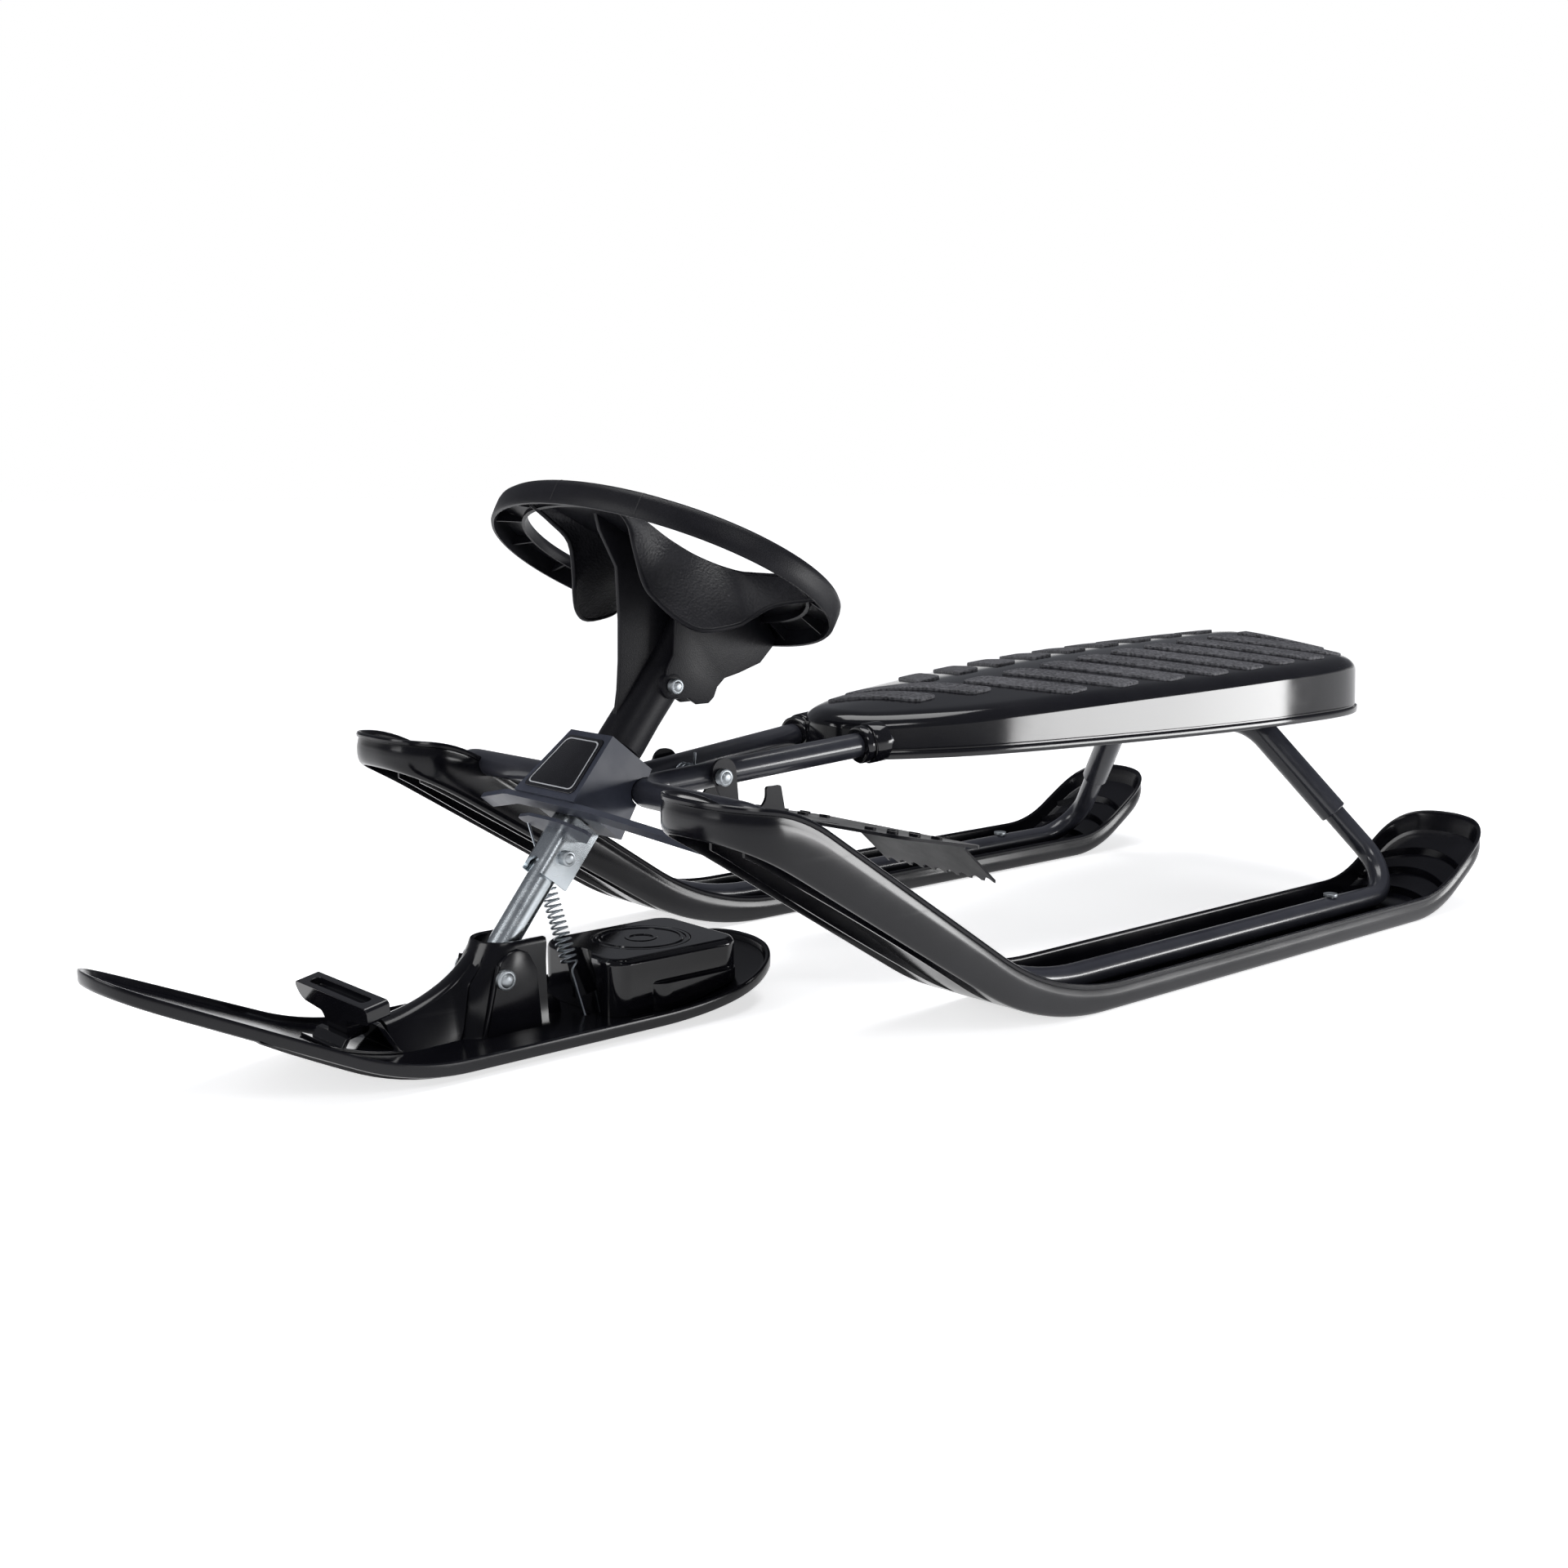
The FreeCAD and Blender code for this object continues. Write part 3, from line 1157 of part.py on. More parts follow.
def biarc(start, start_tangent, end, end_tangent):
    """Makes two tangent arcs between two points with given directions."""
    v = end - start
    t = start_tangent + end_tangent
    a = 2 * (start_tangent.dot(end_tangent) - 1)
    b = -2 * v.dot(t)
    c = v.dot(v)
    if abs(a) < 1e-9:
        d = -c / b
    else:
        d = (-b - math.sqrt(b * b - 4 * a * c)) / (2 * a)
        if d < 0:
            d = (-b + math.sqrt(b * b - 4 * a * c)) / (2 * a)
    middle = (start + start_tangent * d + end - end_tangent * d) * 0.5
    first = arc_from(start, start_tangent, middle)
    back = arc_from(end, end_tangent * -1, middle)
    return [first, back]


def coil_wire(low, high, mean_radius, turns, steps):
    """Gives the points and directions of a coil between two points of its axis."""
    axis = high - low
    length = axis.Length
    axis = Vector(axis).normalize()
    first = axis.cross(SIDE).normalize()
    second = axis.cross(first)
    places = []
    for k in range(int(turns * steps) + 1):
        angle = 2 * math.pi * k / steps
        rise = length * k / (turns * steps)
        out = first * math.cos(angle) + second * math.sin(angle)
        around = second * math.cos(angle) - first * math.sin(angle)
        slope = length / (turns * 2 * math.pi)
        tangent = (around * mean_radius + axis * slope).normalize()
        places.append((low + out * mean_radius + axis * rise, tangent))
    return places, axis


def coil_tube(foot, head, coil_length, diameter, wire, turns):
    """Makes a coil spring as one unbroken wire with a straight leg to each end."""
    axis = Vector(head - foot).normalize()
    middle = (foot + head) * 0.5
    low = middle - axis * (coil_length / 2)
    high = middle + axis * (coil_length / 2)
    places, axis = coil_wire(low, high, (diameter - wire) / 2, turns, COIL_STEPS)
    lead = diameter * COIL_LEAD
    stations = [(low - axis * lead, axis)] + places + [(high + axis * lead, axis)]
    edges = [Part.LineSegment(foot, stations[0][0]).toShape()]
    for (p, t), (q, u) in zip(stations, stations[1:]):
        edges += biarc(p, t, q, u)
    edges.append(Part.LineSegment(stations[-1][0], head).toShape())
    path = Part.Wire(Part.__sortEdges__(edges))
    section = Part.Wire([Part.Circle(foot, axis, wire / 2).toShape()])
    print("coil least gap to itself", round(least_gap(path, wire, coil_length / turns), 2))
    return path.makePipeShell([section], True, False)


def least_gap(path, wire, pitch):
    """Measures the least gap between the wire's turns on points along it."""
    points = path.discretize(Number=400)
    step = path.Length / (len(points) - 1)
    skip = int(3 * pitch / step) + 2
    near = [p.distanceToPoint(q) for i, p in enumerate(points) for q in points[i + skip:]]
    return min(near) - wire


def spring_foot():
    """Gives where the tension spring's lower leg ends, in the front ski's plate."""
    return Vector(SPRING_X, SPRING_LOW_Y, front_plate_top() - SPRING_SINK)


def spring_head():
    """Gives where the tension spring's upper leg ends, in the far wing of the cross sheet."""
    return wing_base() + COLUMN_FRONT * SPRING_AHEAD + SIDE * SPRING_HIGH_Y + COLUMN_AXIS * WING_SHEET


def tension_spring():
    """Makes the spring that draws the front ski's tail up behind the column."""
    return coil_tube(spring_foot(), spring_head(), SPRING_LENGTH, SPRING_DIAMETER, SPRING_WIRE, SPRING_TURNS)


def rounded_box(x0, x1, half, z0, z1, corner):
    """Makes a box with rounded upright corners."""
    corners = [Vector(x0, -half, z0), Vector(x1, -half, z0), Vector(x1, half, z0), Vector(x0, half, z0)]
    return plate_from(corners, UP * (z1 - z0), [corner] * 4)


def winder_housing():
    """Makes the cord winder's cover, open below, with a round seat for its lid."""
    base = front_plate_top()
    skin = WINDER_SKIN
    x0, x1 = WINDER_X - WINDER_HALF_LENGTH, WINDER_X + WINDER_HALF_LENGTH
    outer = rounded_box(x0, x1, WINDER_HALF_WIDTH, base, WINDER_TOP_Z, WINDER_CORNER)
    top = [e for e in outer.Edges if e.BoundBox.ZMin > WINDER_TOP_Z - LID_PLAY]
    outer = outer.makeFillet(WINDER_EDGE, top)
    flank = rounded_box(x0 + WINDER_STEP_REAR, x1 - WINDER_STEP_FRONT, WINDER_HALF_WIDTH + WINDER_STEP, base,
                        base + WINDER_STEP_Z, WINDER_CORNER)
    inner = rounded_box(x0 + skin, x1 - skin, WINDER_HALF_WIDTH - skin, base, WINDER_TOP_Z - skin,
                        WINDER_CORNER - skin)
    lid_foot = Vector(WINDER_X, 0, WINDER_TOP_Z - LID_THICKNESS)
    seat = Part.makeCylinder(LID_RADIUS + LID_PLAY, TALL, lid_foot, UP)
    hole = Part.makeCylinder(LID_RADIUS - WINDER_LEDGE, TALL, Vector(WINDER_X, 0, base + REEL_HEIGHT), UP)
    housing = fused([outer, flank]).cut(inner).cut(seat)
    ledge = Part.makeCylinder(LID_RADIUS + WINDER_LEDGE, skin, lid_foot - UP * skin, UP)
    housing = fused([housing, ledge.common(outer)]).cut(hole)
    gap = WINDER_OUTLET
    outlet = Part.makeBox(WINDER_CORNER, gap, gap, Vector(x1 - gap, -gap / 2, base + WINDER_OUTLET_Z))
    housing = housing.cut(outlet).cut(front_tail_room())
    return max(housing.Solids, key=lambda solid: solid.Volume)


def front_tail_room():
    """Makes the space that the front ski's rising tail takes."""
    half = FRONT_HALF_WIDTH
    sole = front_sole()
    return side_band(shifted(sole, FRONT_PLATE), shifted(sole, -FRONT_HALF_WIDTH), -half, half)


def winder_lid():
    """Makes the round lid on the winder."""
    foot = Vector(WINDER_X, 0, WINDER_TOP_Z - LID_THICKNESS)
    return Part.makeCylinder(LID_RADIUS, LID_THICKNESS, foot, UP)


def reel_floor():
    """Gives the height of the reel's foot above the rising ski plate."""
    return front_plate_top() + REEL_LIFT


def winder_reel():
    """Makes the cord reel with two flanges and a drum."""
    z = reel_floor()
    foot = Vector(WINDER_X, 0, z)
    low = Part.makeCylinder(REEL_RADIUS, REEL_FLANGE, foot, UP)
    high = Part.makeCylinder(REEL_RADIUS, REEL_FLANGE, foot + UP * (REEL_HEIGHT - REEL_FLANGE), UP)
    drum = Part.makeCylinder(REEL_CORE, REEL_HEIGHT, foot, UP)
    room = Part.makeCylinder(REEL_CORE - REEL_WALL, REEL_HEIGHT - REEL_FLOOR, foot + UP * REEL_FLOOR, UP)
    bore = Part.makeCylinder(AXLE_RADIUS + AXLE_CLEARANCE, TALL, foot + UP * BELOW, UP)
    return fused([low, high, drum]).cut(room).cut(bore)


def reel_axle():
    """Makes the post that the reel turns on, with its foot on the ski's plate."""
    z = front_plate_top()
    top = WINDER_TOP_Z - LID_THICKNESS - AXLE_SEAT
    foot = Vector(WINDER_X, 0, z - FRONT_PLATE)
    post = Part.makeCylinder(AXLE_RADIUS, top - foot.z, foot, UP)
    collar = Part.makeCylinder(AXLE_RADIUS + AXLE_COLLAR, z + REEL_LIFT - AXLE_SEAT - foot.z, foot, UP)
    return fused([post, collar]).cut(front_tail_room())


def recoil_spring():
    """Makes the flat spiral spring inside the reel's drum as a strip of half turns."""
    z = reel_floor() + RECOIL_LIFT
    edges = []
    radius = AXLE_RADIUS + RECOIL_START
    step = (REEL_CORE - REEL_WALL - RECOIL_STRIP / 2 - RECOIL_PLAY - radius) / RECOIL_HALF_TURNS
    start = Vector(WINDER_X + radius, 0, z)
    for k in range(RECOIL_HALF_TURNS):
        side = 1 if k % 2 == 0 else -1
        reach = 2 * radius + step * (2 * k + 1)
        end = Vector(start.x - side * reach, 0, z)
        middle = (start + end) * 0.5 + SIDE * (side * reach / 2)
        edges.append(Part.Arc(start, middle, end).toShape())
        start = end
    path = Part.Wire(edges)
    begin = edges[0].Vertexes[0].Point
    half = Vector(RECOIL_STRIP / 2, 0, 0)
    tall = UP * (REEL_HEIGHT - 2 * RECOIL_LIFT)
    corners = [begin - half, begin + half, begin + half + tall, begin - half + tall]
    section = Part.makePolygon(corners + [corners[0]])
    return path.makePipeShell([section], True, False)


def handle_axis():
    """Gives the direction in which the pull handle leaves its holder."""
    lean = math.radians(HANDLE_LEAN_DEG)
    return Vector(math.sin(lean), 0, math.cos(lean))


def handle_point(f, y, s):
    """Gives a point in the handle's frame: forward, left and up its stem from the stem's foot."""
    axis = handle_axis()
    ahead = SIDE.cross(axis)
    return Vector(HANDLE_X, 0, STEM_FOOT_Z) + ahead * f + SIDE * y + axis * s


def pull_handle():
    """Makes the T shaped pull handle with a recess along its bar."""
    high = (HANDLE_TOP_Z - STEM_FOOT_Z) / math.cos(math.radians(HANDLE_LEAN_DEG))
    low = high - HANDLE_BAR
    shoulder_y, shoulder_drop = STEM_SHOULDER
    right = [(-HANDLE_HALF, high), (-HANDLE_HALF + HANDLE_END_LEAN, low), (-shoulder_y, low - shoulder_drop),
             (-STEM_HALF, 0)]
    left = [(-y, s) for y, s in reversed(right)]
    rear = -HANDLE_DEPTH / 2
    outline = [handle_point(rear, y, s) for y, s in reversed(right + left)]
    depth = handle_point(HANDLE_DEPTH, 0, 0) - handle_point(0, 0, 0)
    body = plate_from(outline, depth, HANDLE_TURNS)
    end = HANDLE_HALF - RECESS_END
    half = RECESS_HALF
    floor = high - RECESS_DEPTH
    recess = [handle_point(f, y, floor) for f, y in ((-half, -end), (half, -end), (half, end), (-half, end))]
    return body.cut(plate_from(recess, handle_axis() * HANDLE_BAR, [RECESS_TURN] * 4))


def handle_holder():
    """Makes the forked holder on the ski that the handle's stem sits in."""
    base = front_plate_top()
    depth = HANDLE_DEPTH / 2 + HOLDER_CLEARANCE
    legs = []
    for side in (1, -1):
        foot_x = handle_point(side * depth, 0, 0).x + side * HOLDER_SPLAY
        outer = handle_point(side * (depth + HOLDER_SHEET), 0, HOLDER_GRIP)
        inner = handle_point(side * depth, 0, HOLDER_GRIP)
        heel_x = foot_x + side * HOLDER_SHEET
        outline = [(foot_x, base), (heel_x, base), (outer.x, outer.z), (inner.x, inner.z)]
        legs.append(plate_from([Vector(x, -HOLDER_HALF, z) for x, z in outline], SIDE * (2 * HOLDER_HALF)))
    sole = front_sole()
    half = HOLDER_HALF
    floor = side_band(shifted(sole, FRONT_PLATE + HOLDER_FLOOR), shifted(sole, FRONT_PLATE), -half, half)
    reach = Part.makeBox(2 * HOLDER_REACH, TALL, TALL, Vector(HANDLE_X - HOLDER_REACH, -TALL / 2, 0))
    return fused([floor.common(reach)] + legs).cut(front_tail_room())


def brake_pivot():
    """Gives the middle of the brake's pivot bolt, on the frame tubes' centre lines."""
    start, end = runner_points()[1:3]
    share = (BRAKE_PIVOT_X - start.x) / (end.x - start.x)
    point = start + (end - start) * share
    return Vector(BRAKE_PIVOT_X, 0, point.z), point.y


def brake_deck():
    """Makes the brake's pressed deck with its wide pedals and toothed edge."""
    front_x = BRAKE_NECK_X + BRAKE_NECK_REACH
    line = [(front_x, BRAKE_NECK_Z + BRAKE_NECK_RISE), (BRAKE_NECK_X, BRAKE_NECK_Z),
            (BRAKE_HEEL_X, BRAKE_HEEL_Z), (BRAKE_TIP_X, BRAKE_TIP_Z)]
    lower = [(x, z - BRAKE_SHEET) for x, z in line]
    band = side_band((line, BRAKE_FOLDS), (lower, BRAKE_FOLDS), -BRAKE_PEDAL_HALF, BRAKE_PEDAL_HALF)
    neck = ear_inner() + BRAKE_SHEET
    pedal, blade = BRAKE_PEDAL_HALF, BRAKE_BLADE_HALF
    left = [(front_x, neck), (BRAKE_NECK_X + BRAKE_SHOULDER[0], neck),
            (BRAKE_NECK_X + BRAKE_SHOULDER[1], pedal), (BRAKE_HEEL_X + BRAKE_PEDAL_REAR, pedal),
            (BRAKE_HEEL_X + BRAKE_BLADE_FRONT, blade), (BRAKE_TIP_X - BRAKE_TIP_MARGIN, blade)]
    right = [(x, -y) for x, y in reversed(left)]
    plan = [Vector(x, y, 0) for x, y in left + right]
    deck = band.common(plate_from(plan, UP * TALL, BRAKE_PLAN_TURNS + BRAKE_PLAN_TURNS[::-1]))
    for side in (1, -1):
        corners = [Vector(BRAKE_NECK_X + x, side * y, 0) for x, y in BRAKE_SLOT]
        deck = deck.cut(plate_from(corners, UP * TALL, [BRAKE_SLOT_TURN] * 4))
    pitch = 2 * BRAKE_BLADE_HALF / TOOTH_COUNT
    z = BRAKE_TIP_Z - TOOTH_DROP
    for k in range(TOOTH_COUNT):
        y = -BRAKE_BLADE_HALF + pitch * (k + 0.5)
        start = Vector(BRAKE_TIP_X - TOOTH_REACH[0], y, z)
        deck = deck.cut(rod(start, Vector(BRAKE_TIP_X + TOOTH_REACH[1], y, z), pitch * TOOTH_SHARE))
    return deck


def ear_inner():
    """Gives how far from the middle the brake's ears stand."""
    return brake_pivot()[1] + TUBE_RADIUS + BRAKE_EAR_GAP + BRAKE_EAR_PLAY


def brake_ear(side):
    """Makes one ear of the brake: the arm to the pivot, a round gap and a hooked stop behind it."""
    pivot, _ = brake_pivot()
    r = BRAKE_EAR_WIDTH / 2
    y = ear_inner() if side > 0 else -ear_inner() - BRAKE_SHEET
    gap_z = BRAKE_NECK_Z + EAR_GAP_RISE
    hook_z = pivot.z - EAR_GAP_RISE
    rear_x = pivot.x - r
    near, gap, far = EAR_HOOK
    outline = [(pivot.x + r, pivot.z + r), (rear_x, pivot.z + r), (rear_x - near, gap_z),
               (rear_x - gap, gap_z), (rear_x - gap, hook_z), (rear_x - far, hook_z),
               (BRAKE_NECK_X + BRAKE_PEDAL_REAR, BRAKE_NECK_Z + BELOW),
               (pivot.x - BRAKE_BOLT, BRAKE_NECK_Z + BRAKE_PEDAL_REAR)]
    return plate_from([Vector(x, y, z) for x, z in outline], SIDE * BRAKE_SHEET, EAR_TURNS)


def brake():
    """Makes the brake: two ears, a deck with pedals, grip dimples and teeth."""
    pivot, _ = brake_pivot()
    body = fused([brake_deck(), brake_ear(1), brake_ear(-1)] + brake_dimples())
    return body.cut(cross_hole(pivot.x, pivot.z, BRAKE_BOLT))


def brake_dimples():
    """Makes the grip dimples pressed into both brake pedals."""
    bumps = []
    slope = (BRAKE_NECK_Z - BRAKE_HEEL_Z) / (BRAKE_NECK_X - BRAKE_HEEL_X)
    tall = DIMPLE_HEIGHT + DIMPLE_ROOT
    for side in (1, -1):
        for i in range(3):
            for j in range(2):
                x = DIMPLE_FIRST_X - DIMPLE_PITCH * i
                y = side * (BRAKE_PEDAL_HALF - DIMPLE_MARGIN - DIMPLE_PITCH * j)
                z = BRAKE_NECK_Z + slope * (x - BRAKE_NECK_X) - DIMPLE_ROOT
                bumps.append(Part.makeCylinder(DIMPLE_RADIUS, tall, Vector(x, y, z), Vector(-slope, 0, 1)))
    return bumps


def brake_bolt():
    """Makes the long bolt through both frame tubes that the brake hangs on."""
    pivot, _ = brake_pivot()
    return cross_bolt(pivot.x, pivot.z, ear_inner() + BRAKE_SHEET + BOLT_SEAT, BRAKE_BOLT, BOLT_HEAD)


def brake_spring():
    """Makes the torsion spring that lifts the brake, wound round its bolt."""
    pivot, tube_y = brake_pivot()
    half = tube_y - TUBE_RADIUS - TORSION_END_GAP
    low = pivot - SIDE * half
    places = []
    radius = BRAKE_BOLT / 2 + TORSION_WIRE / 2 + TORSION_PLAY
    total = TORSION_TURNS * COIL_STEPS
    slope = half / (TORSION_TURNS * math.pi)
    for k in range(total + 1):
        angle = math.pi * 2 * k / COIL_STEPS
        out = Vector(math.cos(angle), 0, math.sin(angle))
        place = low + SIDE * (2 * half * k / total) + out * radius
        tangent = Vector(-radius * out.z, slope, radius * out.x).normalize()
        places.append((place, tangent))
    start = places[0][0] - places[0][1] * TORSION_LEG
    end = places[-1][0] + places[-1][1] * TORSION_LEG
    edges = [Part.LineSegment(start, places[0][0]).toShape()]
    for (p, t), (q, u) in zip(places, places[1:]):
        edges += biarc(p, t, q, u)
    edges.append(Part.LineSegment(places[-1][0], end).toShape())
    path = Part.Wire(Part.__sortEdges__(edges))
    section = Part.Wire([Part.Circle(start, places[0][1], TORSION_WIRE / 2).toShape()])
    print("torsion spring least gap to itself", round(2 * half / TORSION_TURNS - TORSION_WIRE, 2))
    return path.makePipeShell([section], True, False)


def front_strap():
    """Makes the flattened brace from the hood's foot to both frame tubes at the skis."""
    below = COLUMN_AXIS * (STRAP_SHEET / 2 + STRAP_SEAT)
    middle = column_point(head_low_z()) - below + COLUMN_FRONT * STRAP_AHEAD
    points = [Vector(STRAP_END_X, -STRAP_REACH, STRAP_END_Z), Vector(middle.x, -STRAP_BEND_Y, middle.z),
              Vector(middle.x, STRAP_BEND_Y, middle.z), Vector(STRAP_END_X, STRAP_REACH, STRAP_END_Z)]
    path = rounded_wire(points, [0, STRAP_BEND_RADIUS, STRAP_BEND_RADIUS, 0])
    wide = COLUMN_FRONT * (STRAP_WIDTH / 2)
    thick = COLUMN_AXIS * (STRAP_SHEET / 2)
    first = points[0]
    corners = [first - wide - thick, first + wide - thick, first + wide + thick, first - wide + thick]
    section = Part.makePolygon(corners + [corners[0]])
    return path.makePipeShell([section], True, False)


def export_all():
    """Builds every piece and writes one STEP file each."""
    os.makedirs("parts", exist_ok=True)
    left_ski = rear_ski()
    left_tube = frame_tube()
    pieces = {
        "left_ski": left_ski,
        "right_ski": mirrored(left_ski),
        "left_frame_tube": left_tube,
        "right_frame_tube": mirrored(left_tube),
        "rear_arch": rear_arch(),
        "arch_saddle": arch_saddle(),
        "joint_bolts": joint_bolts(),
        "seat_shell": seat_shell(),
        "seat_pads": seat_pads(),
        "seat_blocks": seat_block(),
        "head_hood": head_hood(),
        "label_plate": label_plate(),
        "upper_bush": upper_bush(),
        "lower_bush": lower_bush(),
        "wing_plate": wing_plate(),
        "steering_column": column(),
        "column_clevis": clevis(),
        "clevis_bolt": clevis_bolt(),
        "steering_wheel": steering_wheel(),
        "wheel_bolt": wheel_bolt(),
        "front_ski": front_ski(),
        "pivot_bolt": pivot_bolt(),
        "tension_spring": tension_spring(),
        "winder_housing": winder_housing(),
        "winder_lid": winder_lid(),
        "winder_reel": winder_reel(),
        "reel_axle": reel_axle(),
        "recoil_spring": recoil_spring(),
        "pull_handle": pull_handle(),
        "handle_holder": handle_holder(),
        "brake": brake(),
        "brake_bolt": brake_bolt(),
        "brake_spring": brake_spring(),
        "front_strap": front_strap(),
    }
    for name, shape in pieces.items():
        box = shape.BoundBox
        print(name, shape.isValid(), len(shape.Solids), round(shape.Volume / 1000, 1),
              [round(v, 1) for v in (box.XMin, box.XMax, box.YMin, box.YMax, box.ZMin, box.ZMax)])
        shape.exportStep("parts/" + name + ".step")


if __name__ == "__main__":
    export_all()
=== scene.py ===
"""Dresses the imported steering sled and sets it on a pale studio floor."""
import logging
import math
from collections.abc import Callable
from dataclasses import dataclass, field
from enum import Enum

import bpy
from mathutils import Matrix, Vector


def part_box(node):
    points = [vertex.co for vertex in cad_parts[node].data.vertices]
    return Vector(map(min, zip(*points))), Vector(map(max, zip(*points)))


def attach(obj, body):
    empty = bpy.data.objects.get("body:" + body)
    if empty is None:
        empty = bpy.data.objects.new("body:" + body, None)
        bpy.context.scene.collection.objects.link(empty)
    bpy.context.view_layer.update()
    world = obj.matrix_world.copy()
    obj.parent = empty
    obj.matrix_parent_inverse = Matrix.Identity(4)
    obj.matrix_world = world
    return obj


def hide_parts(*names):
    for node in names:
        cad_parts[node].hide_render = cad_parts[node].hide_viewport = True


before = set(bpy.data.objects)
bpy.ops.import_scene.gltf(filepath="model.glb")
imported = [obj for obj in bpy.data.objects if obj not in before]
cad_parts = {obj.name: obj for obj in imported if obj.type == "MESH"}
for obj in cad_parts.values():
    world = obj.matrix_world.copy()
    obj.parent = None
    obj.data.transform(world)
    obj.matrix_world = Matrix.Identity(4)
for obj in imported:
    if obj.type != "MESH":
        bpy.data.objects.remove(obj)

LOG = logging.getLogger("steering_sled")
MM = 0.001
PHOTO_WIDTH = 1920.0
UP = Vector((0.0, 0.0, 1.0))
SIDES = ((1.0, "left"), (-1.0, "right"))
Plan = tuple[tuple[float, float], ...]
Points = tuple[tuple[float, float, float], ...]
Colour = tuple[float, float, float]
Height = Callable[[float, float], float]
Ring = tuple[float, float, Height]


class Body(str, Enum):
    """The bodies that pieces ride on."""

    FRAME = "frame"
    STEERING = "steering"
    FRONT_SKI = "front_ski"
    HANDLE = "handle"


class Slot(str, Enum):
    """The material slots, by name."""

    SKI = "ski_plastic"
    SEAT = "seat_plastic"
    PADS = "grip_pads"
    WHEEL = "wheel_plastic"
    FRAME = "frame_paint"
    ZINC = "zinc"
    LABEL = "label"


class Tree:
    """Places nodes in one node tree and joins them."""

    def __init__(self, tree: bpy.types.NodeTree) -> None:
        """Keeps the tree, emptied."""
        self.tree = tree
        tree.nodes.clear()

    def add(self, kind: str, **settings: object) -> bpy.types.Node:
        """Adds one node.

        Args:
            kind: The node's type name, without the leading ShaderNode.
            settings: Properties of the node; other names are its input sockets.

        Returns:
            The new node.
        """
        node = self.tree.nodes.new(kind if kind.startswith("Node") else "ShaderNode" + kind)
        for name, value in settings.items():
            if hasattr(node, name):
                setattr(node, name, value)
            else:
                self.feed(node, name.replace("_", " "), value)
        return node

    def feed(self, node: bpy.types.Node, name: str, value: object) -> None:
        """Sets an input socket, or joins it to another node's output.

        Args:
            node: The node that has the socket.
            name: The socket's name, in any case.
            value: A plain value, or an output socket.
        """
        socket = next(s for s in node.inputs if s.name.lower() == name.lower() and s.enabled)
        self.join(socket, value)

    def join(self, socket: bpy.types.NodeSocket, value: object) -> None:
        """Sets an input socket, or joins it to an output socket.

        Args:
            socket: The input socket.
            value: A plain value, or an output socket.
        """
        if isinstance(value, bpy.types.NodeSocket):
            self.tree.links.new(value, socket)
        else:
            socket.default_value = value

    def maths(self, operation: str, first: object, second: object) -> bpy.types.NodeSocket:
        """Joins two values by one operation.

        Args:
            operation: The Math node's operation.
            first: A value or an output socket.
            second: A value or an output socket.

        Returns:
            The result's output socket.
        """
        node = self.add("Math", operation=operation)
        for socket, value in zip(node.inputs, (first, second)):
            self.join(socket, value)
        return node.outputs[0]

    def blend(self, mask: bpy.types.NodeSocket, low: Colour, high: Colour) -> bpy.types.NodeSocket:
        """Mixes two colours by a mask.

        Args:
            mask: The output socket that runs from 0 to 1.
            low: The colour where the mask is 0.
            high: The colour where the mask is 1.

        Returns:
            The colour's output socket.
        """
        node = self.add("Mix", data_type="RGBA", Factor=mask, A=(*low, 1.0), B=(*high, 1.0))
        return next(socket for socket in node.outputs if socket.enabled)

    def span(self, mask: bpy.types.NodeSocket, low: float, high: float) -> bpy.types.NodeSocket:
        """Maps a mask from 0..1 to a range of values.

        Args:
            mask: The output socket that runs from 0 to 1.
            low: The value where the mask is 0.
            high: The value where the mask is 1.

        Returns:
            The value's output socket.
        """
        return self.add("MapRange", Value=mask, To_Min=low, To_Max=high).outputs[0]


